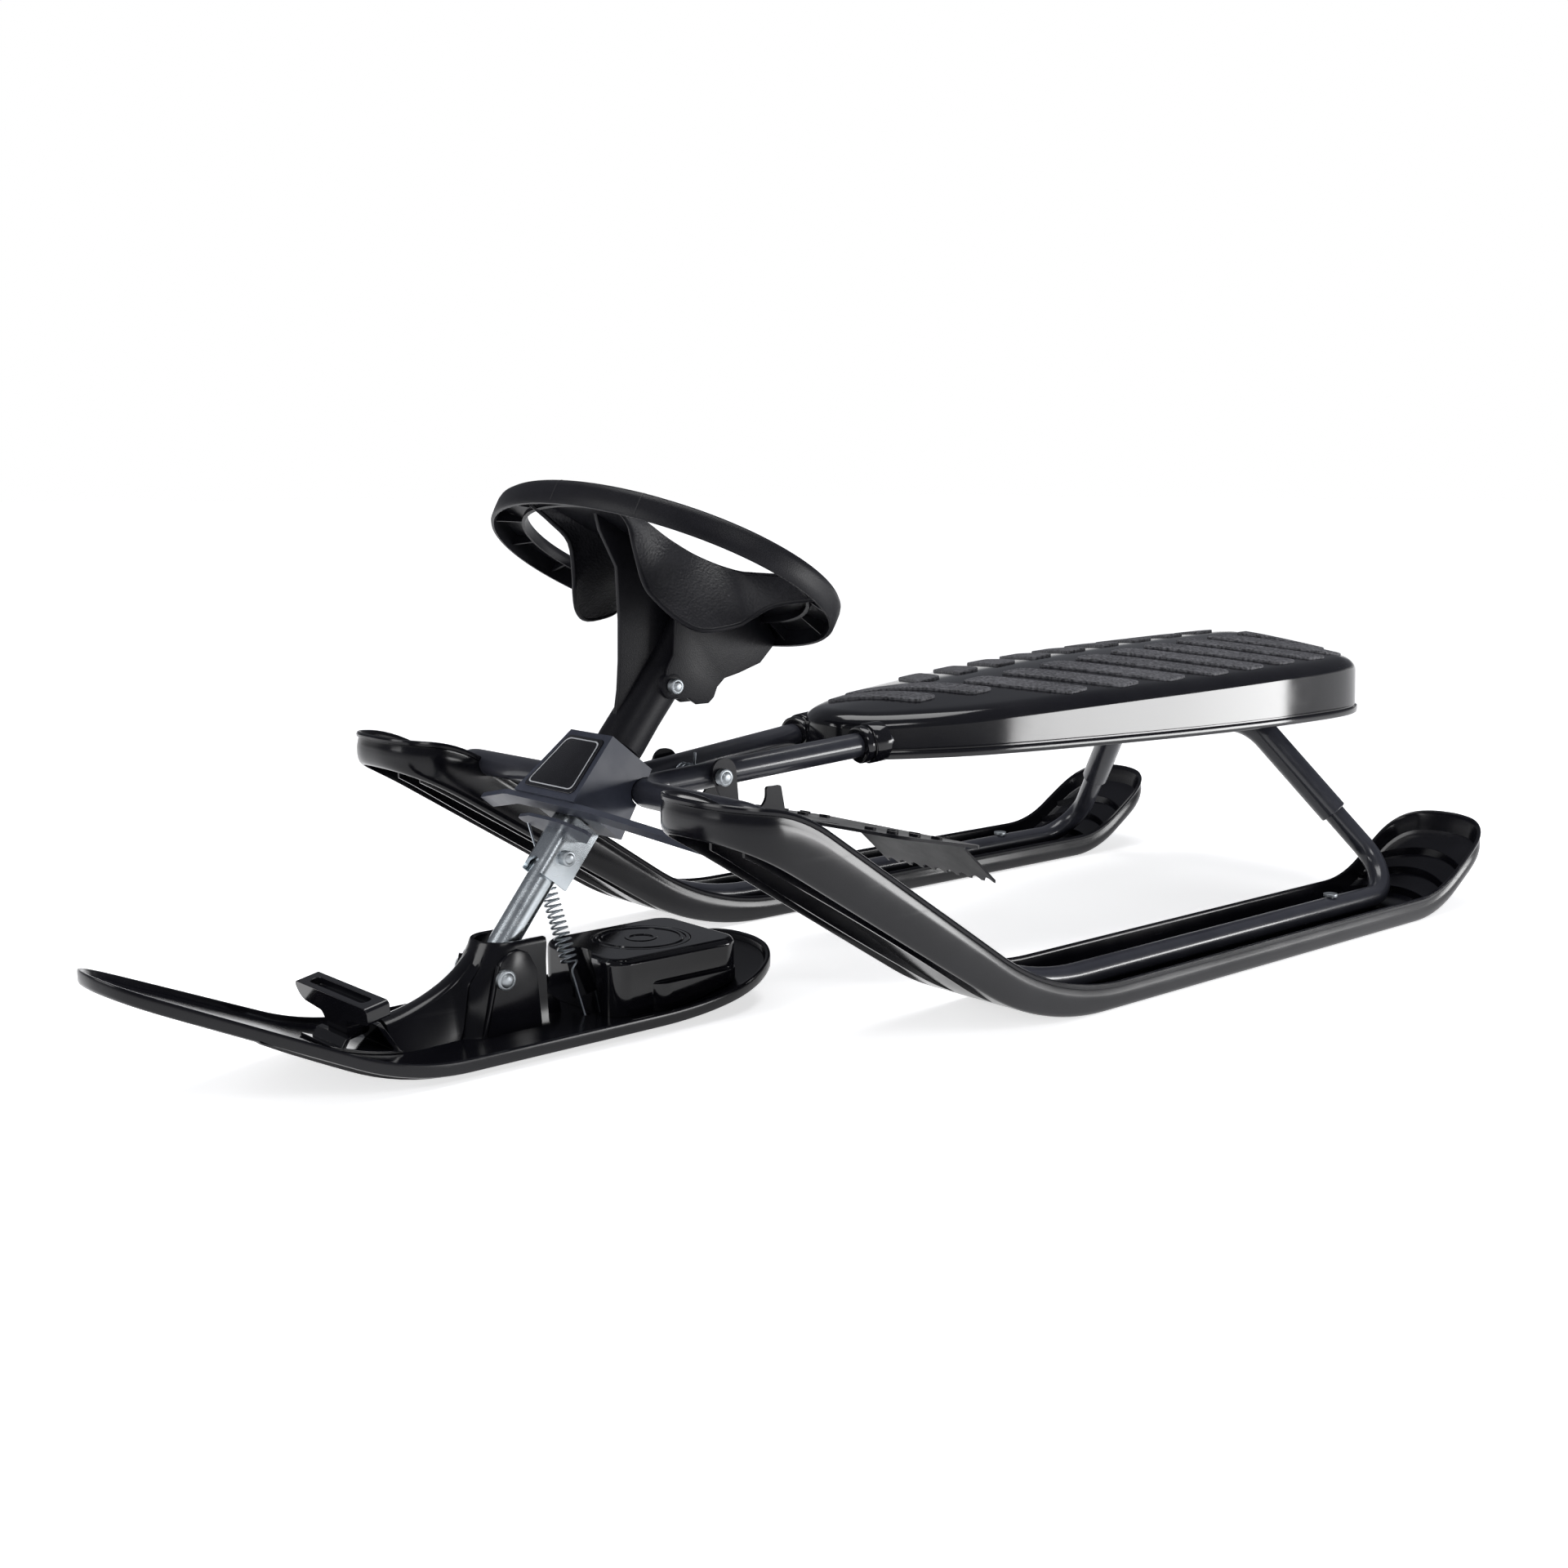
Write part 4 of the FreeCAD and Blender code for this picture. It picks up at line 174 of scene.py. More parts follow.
class EffectGroups:
    """The shader node groups that more than one finish uses."""

    grain_scale: float = 900.0
    fine_scale: float = 0.6
    fine_detail: float = 2.0
    fine_height: float = 0.6
    smudge_scale: float = 18.0
    smudge_detail: float = 4.0
    smudge_roughness: float = 0.6
    smudge_from: float = 0.35
    smudge_to: float = 0.7
    line_scale: float = 60.0
    line_detail: float = 3.0
    line_stretch: tuple[float, float, float] = (0.12, 6.0, 6.0)
    line_turn: tuple[float, float, float] = (0.1, 0.2, 0.35)
    line_from: float = 0.62
    line_to: float = 0.72

    def __init__(self) -> None:
        """Builds each group once."""
        self.grain = self.make_grain_and_pit_shade()
        self.smudge = self.make_smudge()
        self.scratch = self.make_scratch()

    @staticmethod
    def start(name: str, scale: float, *outputs: str) -> tuple[Tree, bpy.types.Node, bpy.types.Node]:
        """Begins a group that takes a scale.

        Args:
            name: The group's name.
            scale: The scale's default value.
            outputs: The output names.

        Returns:
            The group's tree, its input node and its output node.
        """
        group = bpy.data.node_groups.new(name, "ShaderNodeTree")
        socket = group.interface.new_socket("Scale", in_out="INPUT", socket_type="NodeSocketFloat")
        socket.default_value = scale
        for label in outputs:
            group.interface.new_socket(label, in_out="OUTPUT", socket_type="NodeSocketFloat")
        tree = Tree(group)
        return tree, tree.add("NodeGroupInput"), tree.add("NodeGroupOutput")

    def make_grain_and_pit_shade(self) -> bpy.types.NodeTree:
        """Makes the pebbled grain of a moulded surface, and a mask by which the finishes paint shade into its
        pits.

        Returns:
            A group that takes a scale and puts out a height and a painted-shade mask, low in the pits and
            high on the raised grain.
        """
        tree, given, result = self.start("moulded_grain_and_pit_shade", self.grain_scale, "Height", "PaintedPitShade")
        place = tree.add("TexCoord").outputs["Object"]
        scale = given.outputs["Scale"]
        cells = tree.add("TexVoronoi", feature="SMOOTH_F1", Vector=place, Scale=scale)
        finer = tree.maths("MULTIPLY", scale, self.fine_scale)
        fine = tree.add("TexNoise", Vector=place, Detail=self.fine_detail, Scale=finer)
        pebbles = tree.maths("MULTIPLY", fine.outputs[0], self.fine_height)
        tree.feed(result, "Height", tree.maths("ADD", cells.outputs["Distance"], pebbles))
        # Painted shade and highlight: the cells that raise the grain also give the mask that darkens its pits
        # and lightens its tops.
        tree.feed(result, "PaintedPitShade", tree.span(cells.outputs["Distance"], 0.0, 1.0))
        return tree.tree

    def make_smudge(self) -> bpy.types.NodeTree:
        """Makes the broad, soft changes that handling leaves in a gloss.

        Returns:
            A group that takes a scale and puts out a soft mask.
        """
        tree, given, result = self.start("handled_gloss", self.smudge_scale, "Mask")
        place = tree.add("TexCoord").outputs["Object"]
        broad = tree.add("TexNoise", Vector=place, Scale=given.outputs["Scale"], Detail=self.smudge_detail,
                         Roughness=self.smudge_roughness)
        low, high = self.smudge_from, self.smudge_to
        mask = tree.add("MapRange", Value=broad.outputs[0], From_Min=low, From_Max=high)
        tree.feed(result, "Mask", mask.outputs[0])
        return tree.tree

    def make_scratch(self) -> bpy.types.NodeTree:
        """Makes faint hairlines along the sled's length.

        Returns:
            A group that takes a scale and puts out a line mask.
        """
        tree, given, result = self.start("fine_hairlines", self.line_scale, "Mask")
        place = tree.add("TexCoord").outputs["Object"]
        turned = tree.add("Mapping", Vector=place, Scale=self.line_stretch, Rotation=self.line_turn)
        lines = tree.add("TexNoise", Vector=turned.outputs[0], Scale=given.outputs["Scale"],
                         Detail=self.line_detail)
        mask = tree.add("MapRange", Value=lines.outputs[0], From_Min=self.line_from, From_Max=self.line_to)
        tree.feed(result, "Mask", mask.outputs[0])
        return tree.tree


@dataclass(frozen=True)
class Finish:
    """One surface finish, made of the shared effects with its own values."""

    name: str
    deep: Colour
    light: Colour
    gloss: tuple[float, float]
    metallic: float = 0.0
    specular: float = 0.3
    coat: float = 0.0
    coat_roughness: float = 0.08
    grain_scale: float = 900.0
    grain_depth: float = 0.0
    # Share of the tone painted as shade in the grain's pits and as highlight on its tops.
    painted_pit_shade: float = 0.0
    smudge_scale: float = 18.0
    hairlines: float = 0.0

    def make(self, groups: EffectGroups) -> bpy.types.Material:
        """Builds the material.

        Args:
            groups: The shared effects.

        Returns:
            The new material.
        """
        material = bpy.data.materials.new(self.name)
        material.use_nodes = True
        tree = Tree(material.node_tree)
        smudge = tree.add("Group", node_tree=groups.smudge, Scale=self.smudge_scale).outputs["Mask"]
        shader = tree.add("BsdfPrincipled", Metallic=self.metallic, Specular_IOR_Level=self.specular)
        tone = smudge
        if self.grain_depth:
            grain = tree.add("Group", node_tree=groups.grain, Scale=self.grain_scale)
            bump = tree.add("Bump", Strength=1.0, Distance=self.grain_depth, Height=grain.outputs["Height"])
            tree.feed(shader, "Normal", bump.outputs[0])
            # Painted shade in the grain's pits and painted highlight on its raised tops.
            pit_shade = tree.maths("MULTIPLY", grain.outputs["PaintedPitShade"], self.painted_pit_shade)
            tone = tree.maths("ADD", tree.maths("MULTIPLY", smudge, 1.0 - self.painted_pit_shade), pit_shade)
        tree.feed(shader, "Base Color", tree.blend(tone, self.deep, self.light))
        rough = tree.span(smudge, *self.gloss)
        if self.hairlines:
            lines = tree.add("Group", node_tree=groups.scratch).outputs["Mask"]
            rough = tree.maths("ADD", rough, tree.maths("MULTIPLY", lines, self.hairlines))
        tree.feed(shader, "Roughness", rough)
        if self.coat:
            tree.feed(shader, "Coat Weight", self.coat)
            tree.feed(shader, "Coat Roughness", self.coat_roughness)
        tree.add("OutputMaterial", Surface=shader.outputs[0])
        return material


class Finishes:
    """All of the sled's finishes, by name."""

    def __init__(self, groups: EffectGroups) -> None:
        """Makes each material once.

        Args:
            groups: The shared effects.
        """
        made = [
            Finish("gloss_black_plastic", (0.004, 0.004, 0.006), (0.007, 0.007, 0.009), (0.07, 0.13),
                   specular=0.4, hairlines=0.02),
            Finish("ski_black_plastic", (0.003, 0.003, 0.0045), (0.006, 0.006, 0.0085), (0.14, 0.24),
                   specular=0.26, hairlines=0.05, smudge_scale=11.0),
            Finish("wheel_black_plastic", (0.005, 0.005, 0.007), (0.008, 0.008, 0.011), (0.4, 0.5),
                   specular=0.17, grain_scale=1500.0, grain_depth=0.00008),
            # The skirt and the pads paint shade into their grain's pits and highlight onto its tops; the
            # pads' pale colour shows mainly as that painted highlight.
            Finish("skirt_grain_and_shade", (0.006, 0.006, 0.008), (0.016, 0.016, 0.020), (0.46, 0.58),
                   specular=0.28, grain_scale=620.0, grain_depth=0.0003, painted_pit_shade=0.4),
            Finish("grip_pad_grain_and_shade", (0.003, 0.003, 0.004), (0.17, 0.17, 0.185), (0.5, 0.65),
                   specular=0.25, grain_scale=430.0, grain_depth=0.0009, painted_pit_shade=0.85),
            Finish("frame_paint", (0.019, 0.020, 0.027), (0.025, 0.026, 0.034), (0.28, 0.38),
                   specular=0.3, coat=0.5, coat_roughness=0.12, smudge_scale=30.0, hairlines=0.05),
            Finish("hood_paint", (0.034, 0.038, 0.054), (0.046, 0.051, 0.070), (0.4, 0.5), specular=0.24,
                   smudge_scale=30.0),
            Finish("brake_paint", (0.004, 0.004, 0.006), (0.007, 0.007, 0.010), (0.34, 0.46),
                   specular=0.14, smudge_scale=30.0),
            Finish("bright_zinc", (0.50, 0.54, 0.57), (0.60, 0.64, 0.67), (0.2, 0.3), metallic=1.0,
                   smudge_scale=24.0, hairlines=0.08),
            Finish("bolt_zinc", (0.30, 0.32, 0.34), (0.42, 0.45, 0.47), (0.4, 0.52), metallic=1.0,
                   smudge_scale=120.0),
            Finish("pale_print", (0.46, 0.47, 0.49), (0.52, 0.53, 0.55), (0.4, 0.5), smudge_scale=80.0),
            Finish("spring_steel", (0.30, 0.33, 0.36), (0.45, 0.48, 0.52), (0.28, 0.42), metallic=1.0,
                   smudge_scale=90.0),
            Finish("label_black", (0.006, 0.006, 0.008), (0.009, 0.009, 0.012), (0.2, 0.28), specular=0.45,
                   smudge_scale=60.0),
            Finish("inner_plastic", (0.015, 0.015, 0.017), (0.024, 0.024, 0.027), (0.45, 0.6), specular=0.3),
        ]
        self.materials = {finish.name: finish.make(groups) for finish in made}

    def dress(self, piece: bpy.types.Object, name: str) -> None:
        """Gives a piece one finish all over.

        Args:
            piece: The mesh object.
            name: The finish's name.
        """
        piece.data.materials.clear()
        piece.data.materials.append(self.materials[name])


class Bench:
    """Modelling steps that several pieces share, with outlines in metres unless they say otherwise."""

    plate_edge_angle: float = 40.0
    merge_gap: float = 0.00001

    @staticmethod
    def clear() -> None:
        """Deselects everything, in object mode."""
        if bpy.context.object and bpy.context.object.mode != "OBJECT":
            bpy.ops.object.mode_set(mode="OBJECT")
        bpy.ops.object.select_all(action="DESELECT")

    @staticmethod
    def take(piece: bpy.types.Object) -> None:
        """Selects one piece alone and makes it active.

        Args:
            piece: The mesh object.
        """
        Bench.clear()
        piece.select_set(True)
        bpy.context.view_layer.objects.active = piece

    @staticmethod
    def tidy(piece: bpy.types.Object) -> None:
        """Merges doubled points and turns the faces outwards.

        Args:
            piece: The mesh object.
        """
        Bench.take(piece)
        bpy.ops.object.mode_set(mode="EDIT")
        bpy.ops.mesh.select_all(action="SELECT")
        bpy.ops.mesh.remove_doubles(threshold=Bench.merge_gap)
        bpy.ops.mesh.normals_make_consistent(inside=False)
        bpy.ops.object.mode_set(mode="OBJECT")

    @staticmethod
    def apply(piece: bpy.types.Object, kind: str, **settings: object) -> None:
        """Adds one modifier and applies it.

        Args:
            piece: The mesh object.
            kind: The modifier's type.
            settings: The modifier's own settings.
        """
        Bench.take(piece)
        modifier = piece.modifiers.new(kind.lower(), kind)
        for name, value in settings.items():
            setattr(modifier, name, value)
        bpy.ops.object.modifier_apply(modifier=modifier.name)

    @staticmethod
    def combine(piece: bpy.types.Object, operation: str, tool: bpy.types.Object) -> None:
        """Cuts a piece by another solid, clips it to that solid, or joins both."""
        Bench.apply(piece, "BOOLEAN", operation=operation, object=tool, solver="EXACT")

    @staticmethod
    def discard(*tools: bpy.types.Object) -> None:
        """Deletes the solids that only served to cut."""
        for tool in tools:
            bpy.data.objects.remove(tool, do_unlink=True)

    @staticmethod
    def net(name: str, rows: list[list[Vector]], round_rows: bool = False, round_columns: bool = False,
            caps: bool = False) -> bpy.types.Object:
        """Shapes a primitive grid to rows of points.

        Args:
            name: The new piece's name.
            rows: The rows of points, each as long as the first.
            round_rows: Whether each row closes on itself.
            round_columns: Whether the last row joins the first.
            caps: Whether the first and last rows are closed by a face.

        Returns:
            The new piece.
        """
        rows = [row + row[:1] for row in rows] if round_rows else list(rows)
        rows = rows + rows[:1] if round_columns else rows
        across, along = len(rows[0]) - 1, len(rows) - 1
        Bench.clear()
        bpy.ops.mesh.primitive_grid_add(x_subdivisions=across, y_subdivisions=along, size=1.0)
        piece = bpy.context.object
        piece.name = name
        for vertex in piece.data.vertices:
            column = round((vertex.co.x + 0.5) * across)
            row = round((vertex.co.y + 0.5) * along)
            vertex.co = rows[row][column]
        Bench.tidy(piece)
        if caps:
            bpy.ops.object.mode_set(mode="EDIT")
            bpy.ops.mesh.select_all(action="DESELECT")
            bpy.ops.mesh.select_non_manifold(extend=False)
            bpy.ops.mesh.edge_face_add()
            bpy.ops.object.mode_set(mode="OBJECT")
            Bench.tidy(piece)
        return piece

    @staticmethod
    def shell(name: str, outline: list[Vector], rings: list[Ring],
              middle: tuple[float, float]) -> bpy.types.Object:
        """Lofts a closed shell through rings of one outline from above.

        Args:
            name: The new piece's name.
            outline: The outline's points in millimetres, the same on both sides of the middle line.
            rings: For each ring its inset, its share of the way out from the middle line and its height.
            middle: The ends of the middle line.

        Returns:
            The new piece.
        """
        count = len(outline)
        inward = []
        for index in range(count):
            along = outline[(index + 1) % count] - outline[index - 1]
            inward.append(Vector((-along.y, along.x, 0.0)).normalized())
        rows = []
        for inset, share, height in rings:
            row = []
            for point, turn in zip(outline, inward):
                edge = point + turn * inset
                spine = Vector((min(max(edge.x, middle[0]), middle[1]), 0.0, 0.0))
                place = spine.lerp(edge, share)
                row.append(Vector((place.x, place.y, height(place.x, place.y))) * MM)
            rows.append(row)
        return Bench.net(name, rows, round_rows=True)

    @staticmethod
    def mirrored(half: Plan, steps: int) -> list[Vector]:
        """Draws a smooth closed outline from its left half, given from front to rear.

        Args:
            half: The half's points, of which the first and last lie on the middle line.
            steps: How many parts each stretch gets.

        Returns:
            The whole outline.
        """
        left = [Vector((x, y, 0.0)) for x, y in half]
        right = [Vector((x, -y, 0.0)) for x, y in half[-2:0:-1]]
        return Bench.smooth_line(left + right, steps, closed=True)

    @staticmethod
    def tube(name: str, line: list[Vector], radius: float, sides: int = 12) -> bpy.types.Object:
        """Makes a round bar along a line, closed at its ends.

        Args:
            name: The new piece's name.
            line: The points of its middle.
            radius: Its radius.
            sides: How many flats go round.

        Returns:
            The new piece.
        """
        rows = []
        side = UP
        for index, point in enumerate(line):
            ahead = line[min(index + 1, len(line) - 1)] - line[max(index - 1, 0)]
            ahead.normalize()
            side = (side - ahead * side.dot(ahead)).normalized()
            other = ahead.cross(side)
            turns = [math.tau * k / sides for k in range(sides)]
            rows.append([point + (side * math.cos(t) + other * math.sin(t)) * radius for t in turns])
        return Bench.net(name, rows, round_rows=True, caps=True)

    @staticmethod
    def turned(name: str, foot: Vector, axis: Vector, profile: Plan, sides: int = 48) -> bpy.types.Object:
        """Turns a closed profile round an axis.

        Args:
            name: The new piece's name.
            foot: A point of the axis, in metres.
            axis: The axis's direction.
            profile: Pairs of radius and height above the foot in millimetres, in order round the section.
            sides: How many steps go round.

        Returns:
            The new piece.
        """
        axis = axis.normalized()
        side = axis.orthogonal().normalized()
        other = axis.cross(side)
        rows = []
        for k in range(sides):
            out = side * math.cos(math.tau * k / sides) + other * math.sin(math.tau * k / sides)
            rows.append([foot + (out * radius + axis * height) * MM for radius, height in profile])
        return Bench.net(name, rows, round_rows=True, round_columns=True)

    @staticmethod
    def plate(name: str, outline: list[Vector], through: Vector, edge: float = 0.0) -> bpy.types.Object:
        """Cuts a flat plate to an outline, gives it its thickness and eases its edges.

        Args:
            name: The new piece's name.
            outline: The corners of its outline.
            through: The way and distance it is extruded.
            edge: The width of the eased edges.

        Returns:
            The new piece.
        """
        far_side = [corner + through for corner in outline]
        piece = Bench.net(name, [outline, far_side], round_rows=True, caps=True)
        if edge:
            Bench.apply(piece, "BEVEL", width=edge, segments=2, limit_method="ANGLE",
                        angle_limit=math.radians(Bench.plate_edge_angle))
        return piece

    @staticmethod
    def joined(name: str, pieces: list[bpy.types.Object]) -> bpy.types.Object:
        """Joins pieces into one.

        Args:
            name: The joined piece's name.
            pieces: The pieces, of which the first is kept.

        Returns:
            The joined piece.
        """
        Bench.take(pieces[0])
        for piece in pieces[1:]:
            piece.select_set(True)
        bpy.ops.object.join()
        pieces[0].name = name
        return pieces[0]

    @staticmethod
    def smooth_line(points: list[Vector], steps: int, closed: bool = False) -> list[Vector]:
        """Draws a smooth line through points.

        Args:
            points: The points that it passes.
            steps: How many parts each stretch gets.
            closed: Whether the line comes back to its start.

        Returns:
            The finer points.
        """
        count = len(points)
        line = []
        for index in range(count if closed else count - 1):
            if closed:
                a, b, c, d = (points[(index + k) % count] for k in (-1, 0, 1, 2))
            else:
                b, c = points[index], points[index + 1]
                a = points[index - 1] if index else b * 2 - c
                d = points[index + 2] if index + 2 < count else c * 2 - b
            for step in range(steps):
                t = step / steps
                bend = (a * 2 - b * 5 + c * 4 - d) * t * t + (b * 3 - a - c * 3 + d) * t * t * t
                line.append((b * 2 + (c - a) * t + bend) * 0.5)
        return line if closed else line + [points[-1].copy()]

    @staticmethod
    def rounded(corners: list[Vector], radius: float, steps: int = 5) -> list[Vector]:
        """Rounds the corners of a closed outline.

        Args:
            corners: The outline's corners.
            radius: How far from each corner the rounding begins.
            steps: How many parts each corner gets.

        Returns:
            The rounded outline.
        """
        line = []
        for index, corner in enumerate(corners):
            before = (corners[index - 1] - corner).normalized() * radius
            after = (corners[(index + 1) % len(corners)] - corner).normalized() * radius
            for step in range(steps + 1):
                t = step / steps
                line.append(corner + before * (1 - t) ** 2 + after * t ** 2)
        return line


@dataclass
class Fitter:
    """Gives a finished piece its body and its finish."""

    finishes: Finishes

    def fit(self, piece: bpy.types.Object, body: Body, slot: Slot, finish: str, *nodes: str,
            smooth: float = 40.0) -> None:
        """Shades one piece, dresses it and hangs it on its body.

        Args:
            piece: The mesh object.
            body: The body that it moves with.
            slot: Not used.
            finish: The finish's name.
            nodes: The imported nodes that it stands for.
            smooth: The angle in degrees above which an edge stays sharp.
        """
        Bench.take(piece)
        bpy.ops.object.shade_smooth_by_angle(angle=math.radians(smooth))
        self.finishes.dress(piece, finish)
        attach(piece, body.value)
        if nodes:
            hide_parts(*nodes)
        LOG.info("built %s", piece.name)


@dataclass
class EasedCopies:
    """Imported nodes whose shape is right, copied with eased edges."""

    fitter: Fitter
    rows: tuple[tuple[str, Body, Slot, str, float], ...] = (
        ("arch_saddle", Body.FRAME, Slot.FRAME, "frame_paint", 0.8),
        ("joint_bolts", Body.FRAME, Slot.ZINC, "bolt_zinc", 0.5),
        ("brake_bolt", Body.FRAME, Slot.ZINC, "bolt_zinc", 0.6),
        ("column_clevis", Body.STEERING, Slot.ZINC, "bright_zinc", 0.7),
        ("clevis_bolt", Body.STEERING, Slot.ZINC, "bolt_zinc", 0.6),
        ("wheel_bolt", Body.STEERING, Slot.ZINC, "bolt_zinc", 0.6),
        ("pivot_bolt", Body.FRONT_SKI, Slot.ZINC, "bolt_zinc", 0.8),
        ("winder_housing", Body.FRONT_SKI, Slot.SKI, "gloss_black_plastic", 1.0),
        ("handle_holder", Body.FRONT_SKI, Slot.SKI, "gloss_black_plastic", 0.8),
        ("pull_handle", Body.HANDLE, Slot.SKI, "gloss_black_plastic", 1.4),
    )
    flat_angle: float = 1.5
    edge_angle: float = 34.0
    grooved: str = "winder_housing"
    groove_line: Points = ((254.7, 14.0, 21.0), (257.5, -9.8, 76.0))
    groove_radius: float = 17.0
    groove_sides: int = 40
    groove_wall: float = 1.6
    groove_room: tuple[float, float, float, float, float] = (226.0, 246.9, 40.0, 10.0, 48.9)

    def build(self) -> None:
        """Copies each node, merges it, eases its edges and fits it."""
        for node, body, slot, finish, edge in self.rows:
            piece = self.eased(node, edge * MM)
            if node == self.grooved:
                self.groove(piece)
            self.fitter.fit(piece, body, slot, finish, node)
            Bench.apply(piece, "WEIGHTED_NORMAL", mode="FACE_AREA", keep_sharp=True)

    def groove(self, piece: bpy.types.Object) -> None:
        """Hollows the cover's front along the tension spring, which swings towards it.

        Args:
            piece: The winder's cover.
        """
        low, high = (Vector(point) * MM for point in self.groove_line)
        foot = low + (low - high).normalized() * self.groove_wall * MM
        outer = self.groove_radius + self.groove_wall
        cutter = Bench.tube("groove", [low, high], self.groove_radius * MM, self.groove_sides)
        liner = Bench.tube("liner", [foot, high], outer * MM, self.groove_sides)
        rear, front, half, bottom, top = self.groove_room
        corners = ((-half, bottom), (half, bottom), (half, top), (-half, top))
        outline = [Vector((rear, y, z)) * MM for y, z in corners]
        room = Bench.plate("room", outline, Vector(((front - rear) * MM, 0.0, 0.0)))
        Bench.combine(liner, "DIFFERENCE", cutter)
        Bench.combine(liner, "INTERSECT", room)
        Bench.combine(piece, "DIFFERENCE", cutter)
        Bench.combine(piece, "UNION", liner)
        Bench.discard(cutter, liner, room)

    def eased(self, node: str, edge: float) -> bpy.types.Object:
        """Copies one node and eases its sharp edges.

        Args:
            node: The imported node's name.
            edge: The width of the easing.

        Returns:
            The new piece.
        """
        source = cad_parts[node]
        piece = bpy.data.objects.new(node + "_eased", source.data.copy())
        bpy.context.collection.objects.link(piece)
        Bench.tidy(piece)
        bpy.ops.object.mode_set(mode="EDIT")
        bpy.ops.mesh.select_all(action="SELECT")
        bpy.ops.mesh.dissolve_limited(angle_limit=math.radians(self.flat_angle))
        bpy.ops.object.mode_set(mode="OBJECT")
        Bench.apply(piece, "BEVEL", width=edge, segments=2, limit_method="ANGLE",
                    angle_limit=math.radians(self.edge_angle), use_clamp_overlap=True, harden_normals=False)
        return piece


@dataclass
class BoltHeads:
    """Domed heads and stepped collars on the ends of the four cross bolts."""

    fitter: Fitter
    bolts: tuple[tuple[str, Body], ...] = (
        ("brake_bolt", Body.FRAME), ("clevis_bolt", Body.STEERING), ("wheel_bolt", Body.STEERING),
        ("pivot_bolt", Body.FRONT_SKI))
    profile: Plan = (
        (0.0, -0.1), (0.98, -0.1), (1.0, 0.02), (0.9, 0.1), (0.72, 0.12), (0.66, 0.2), (0.5, 0.3),
        (0.28, 0.36), (0.0, 0.38))
    least_radius: float = 0.01
    sides: int = 32

    def build(self) -> None:
        """Turns a head for each end of each bolt."""
        for node, body in self.bolts:
            low, high = (Vector(corner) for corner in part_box(node))
            radius = (high.x - low.x) / 2 / MM
            least = self.least_radius
            profile = [(max(share * radius, least), height * radius) for share, height in self.profile]
            heads = []
            for end, way in ((high.y, 1.0), (low.y, -1.0)):
                foot = Vector(((low.x + high.x) / 2, end, (low.z + high.z) / 2))
                heads.append(Bench.turned("bolt_head", foot, Vector((0.0, way, 0.0)), profile, self.sides))
            self.fitter.fit(Bench.joined(node + "_heads", heads), body, Slot.ZINC, "bolt_zinc")


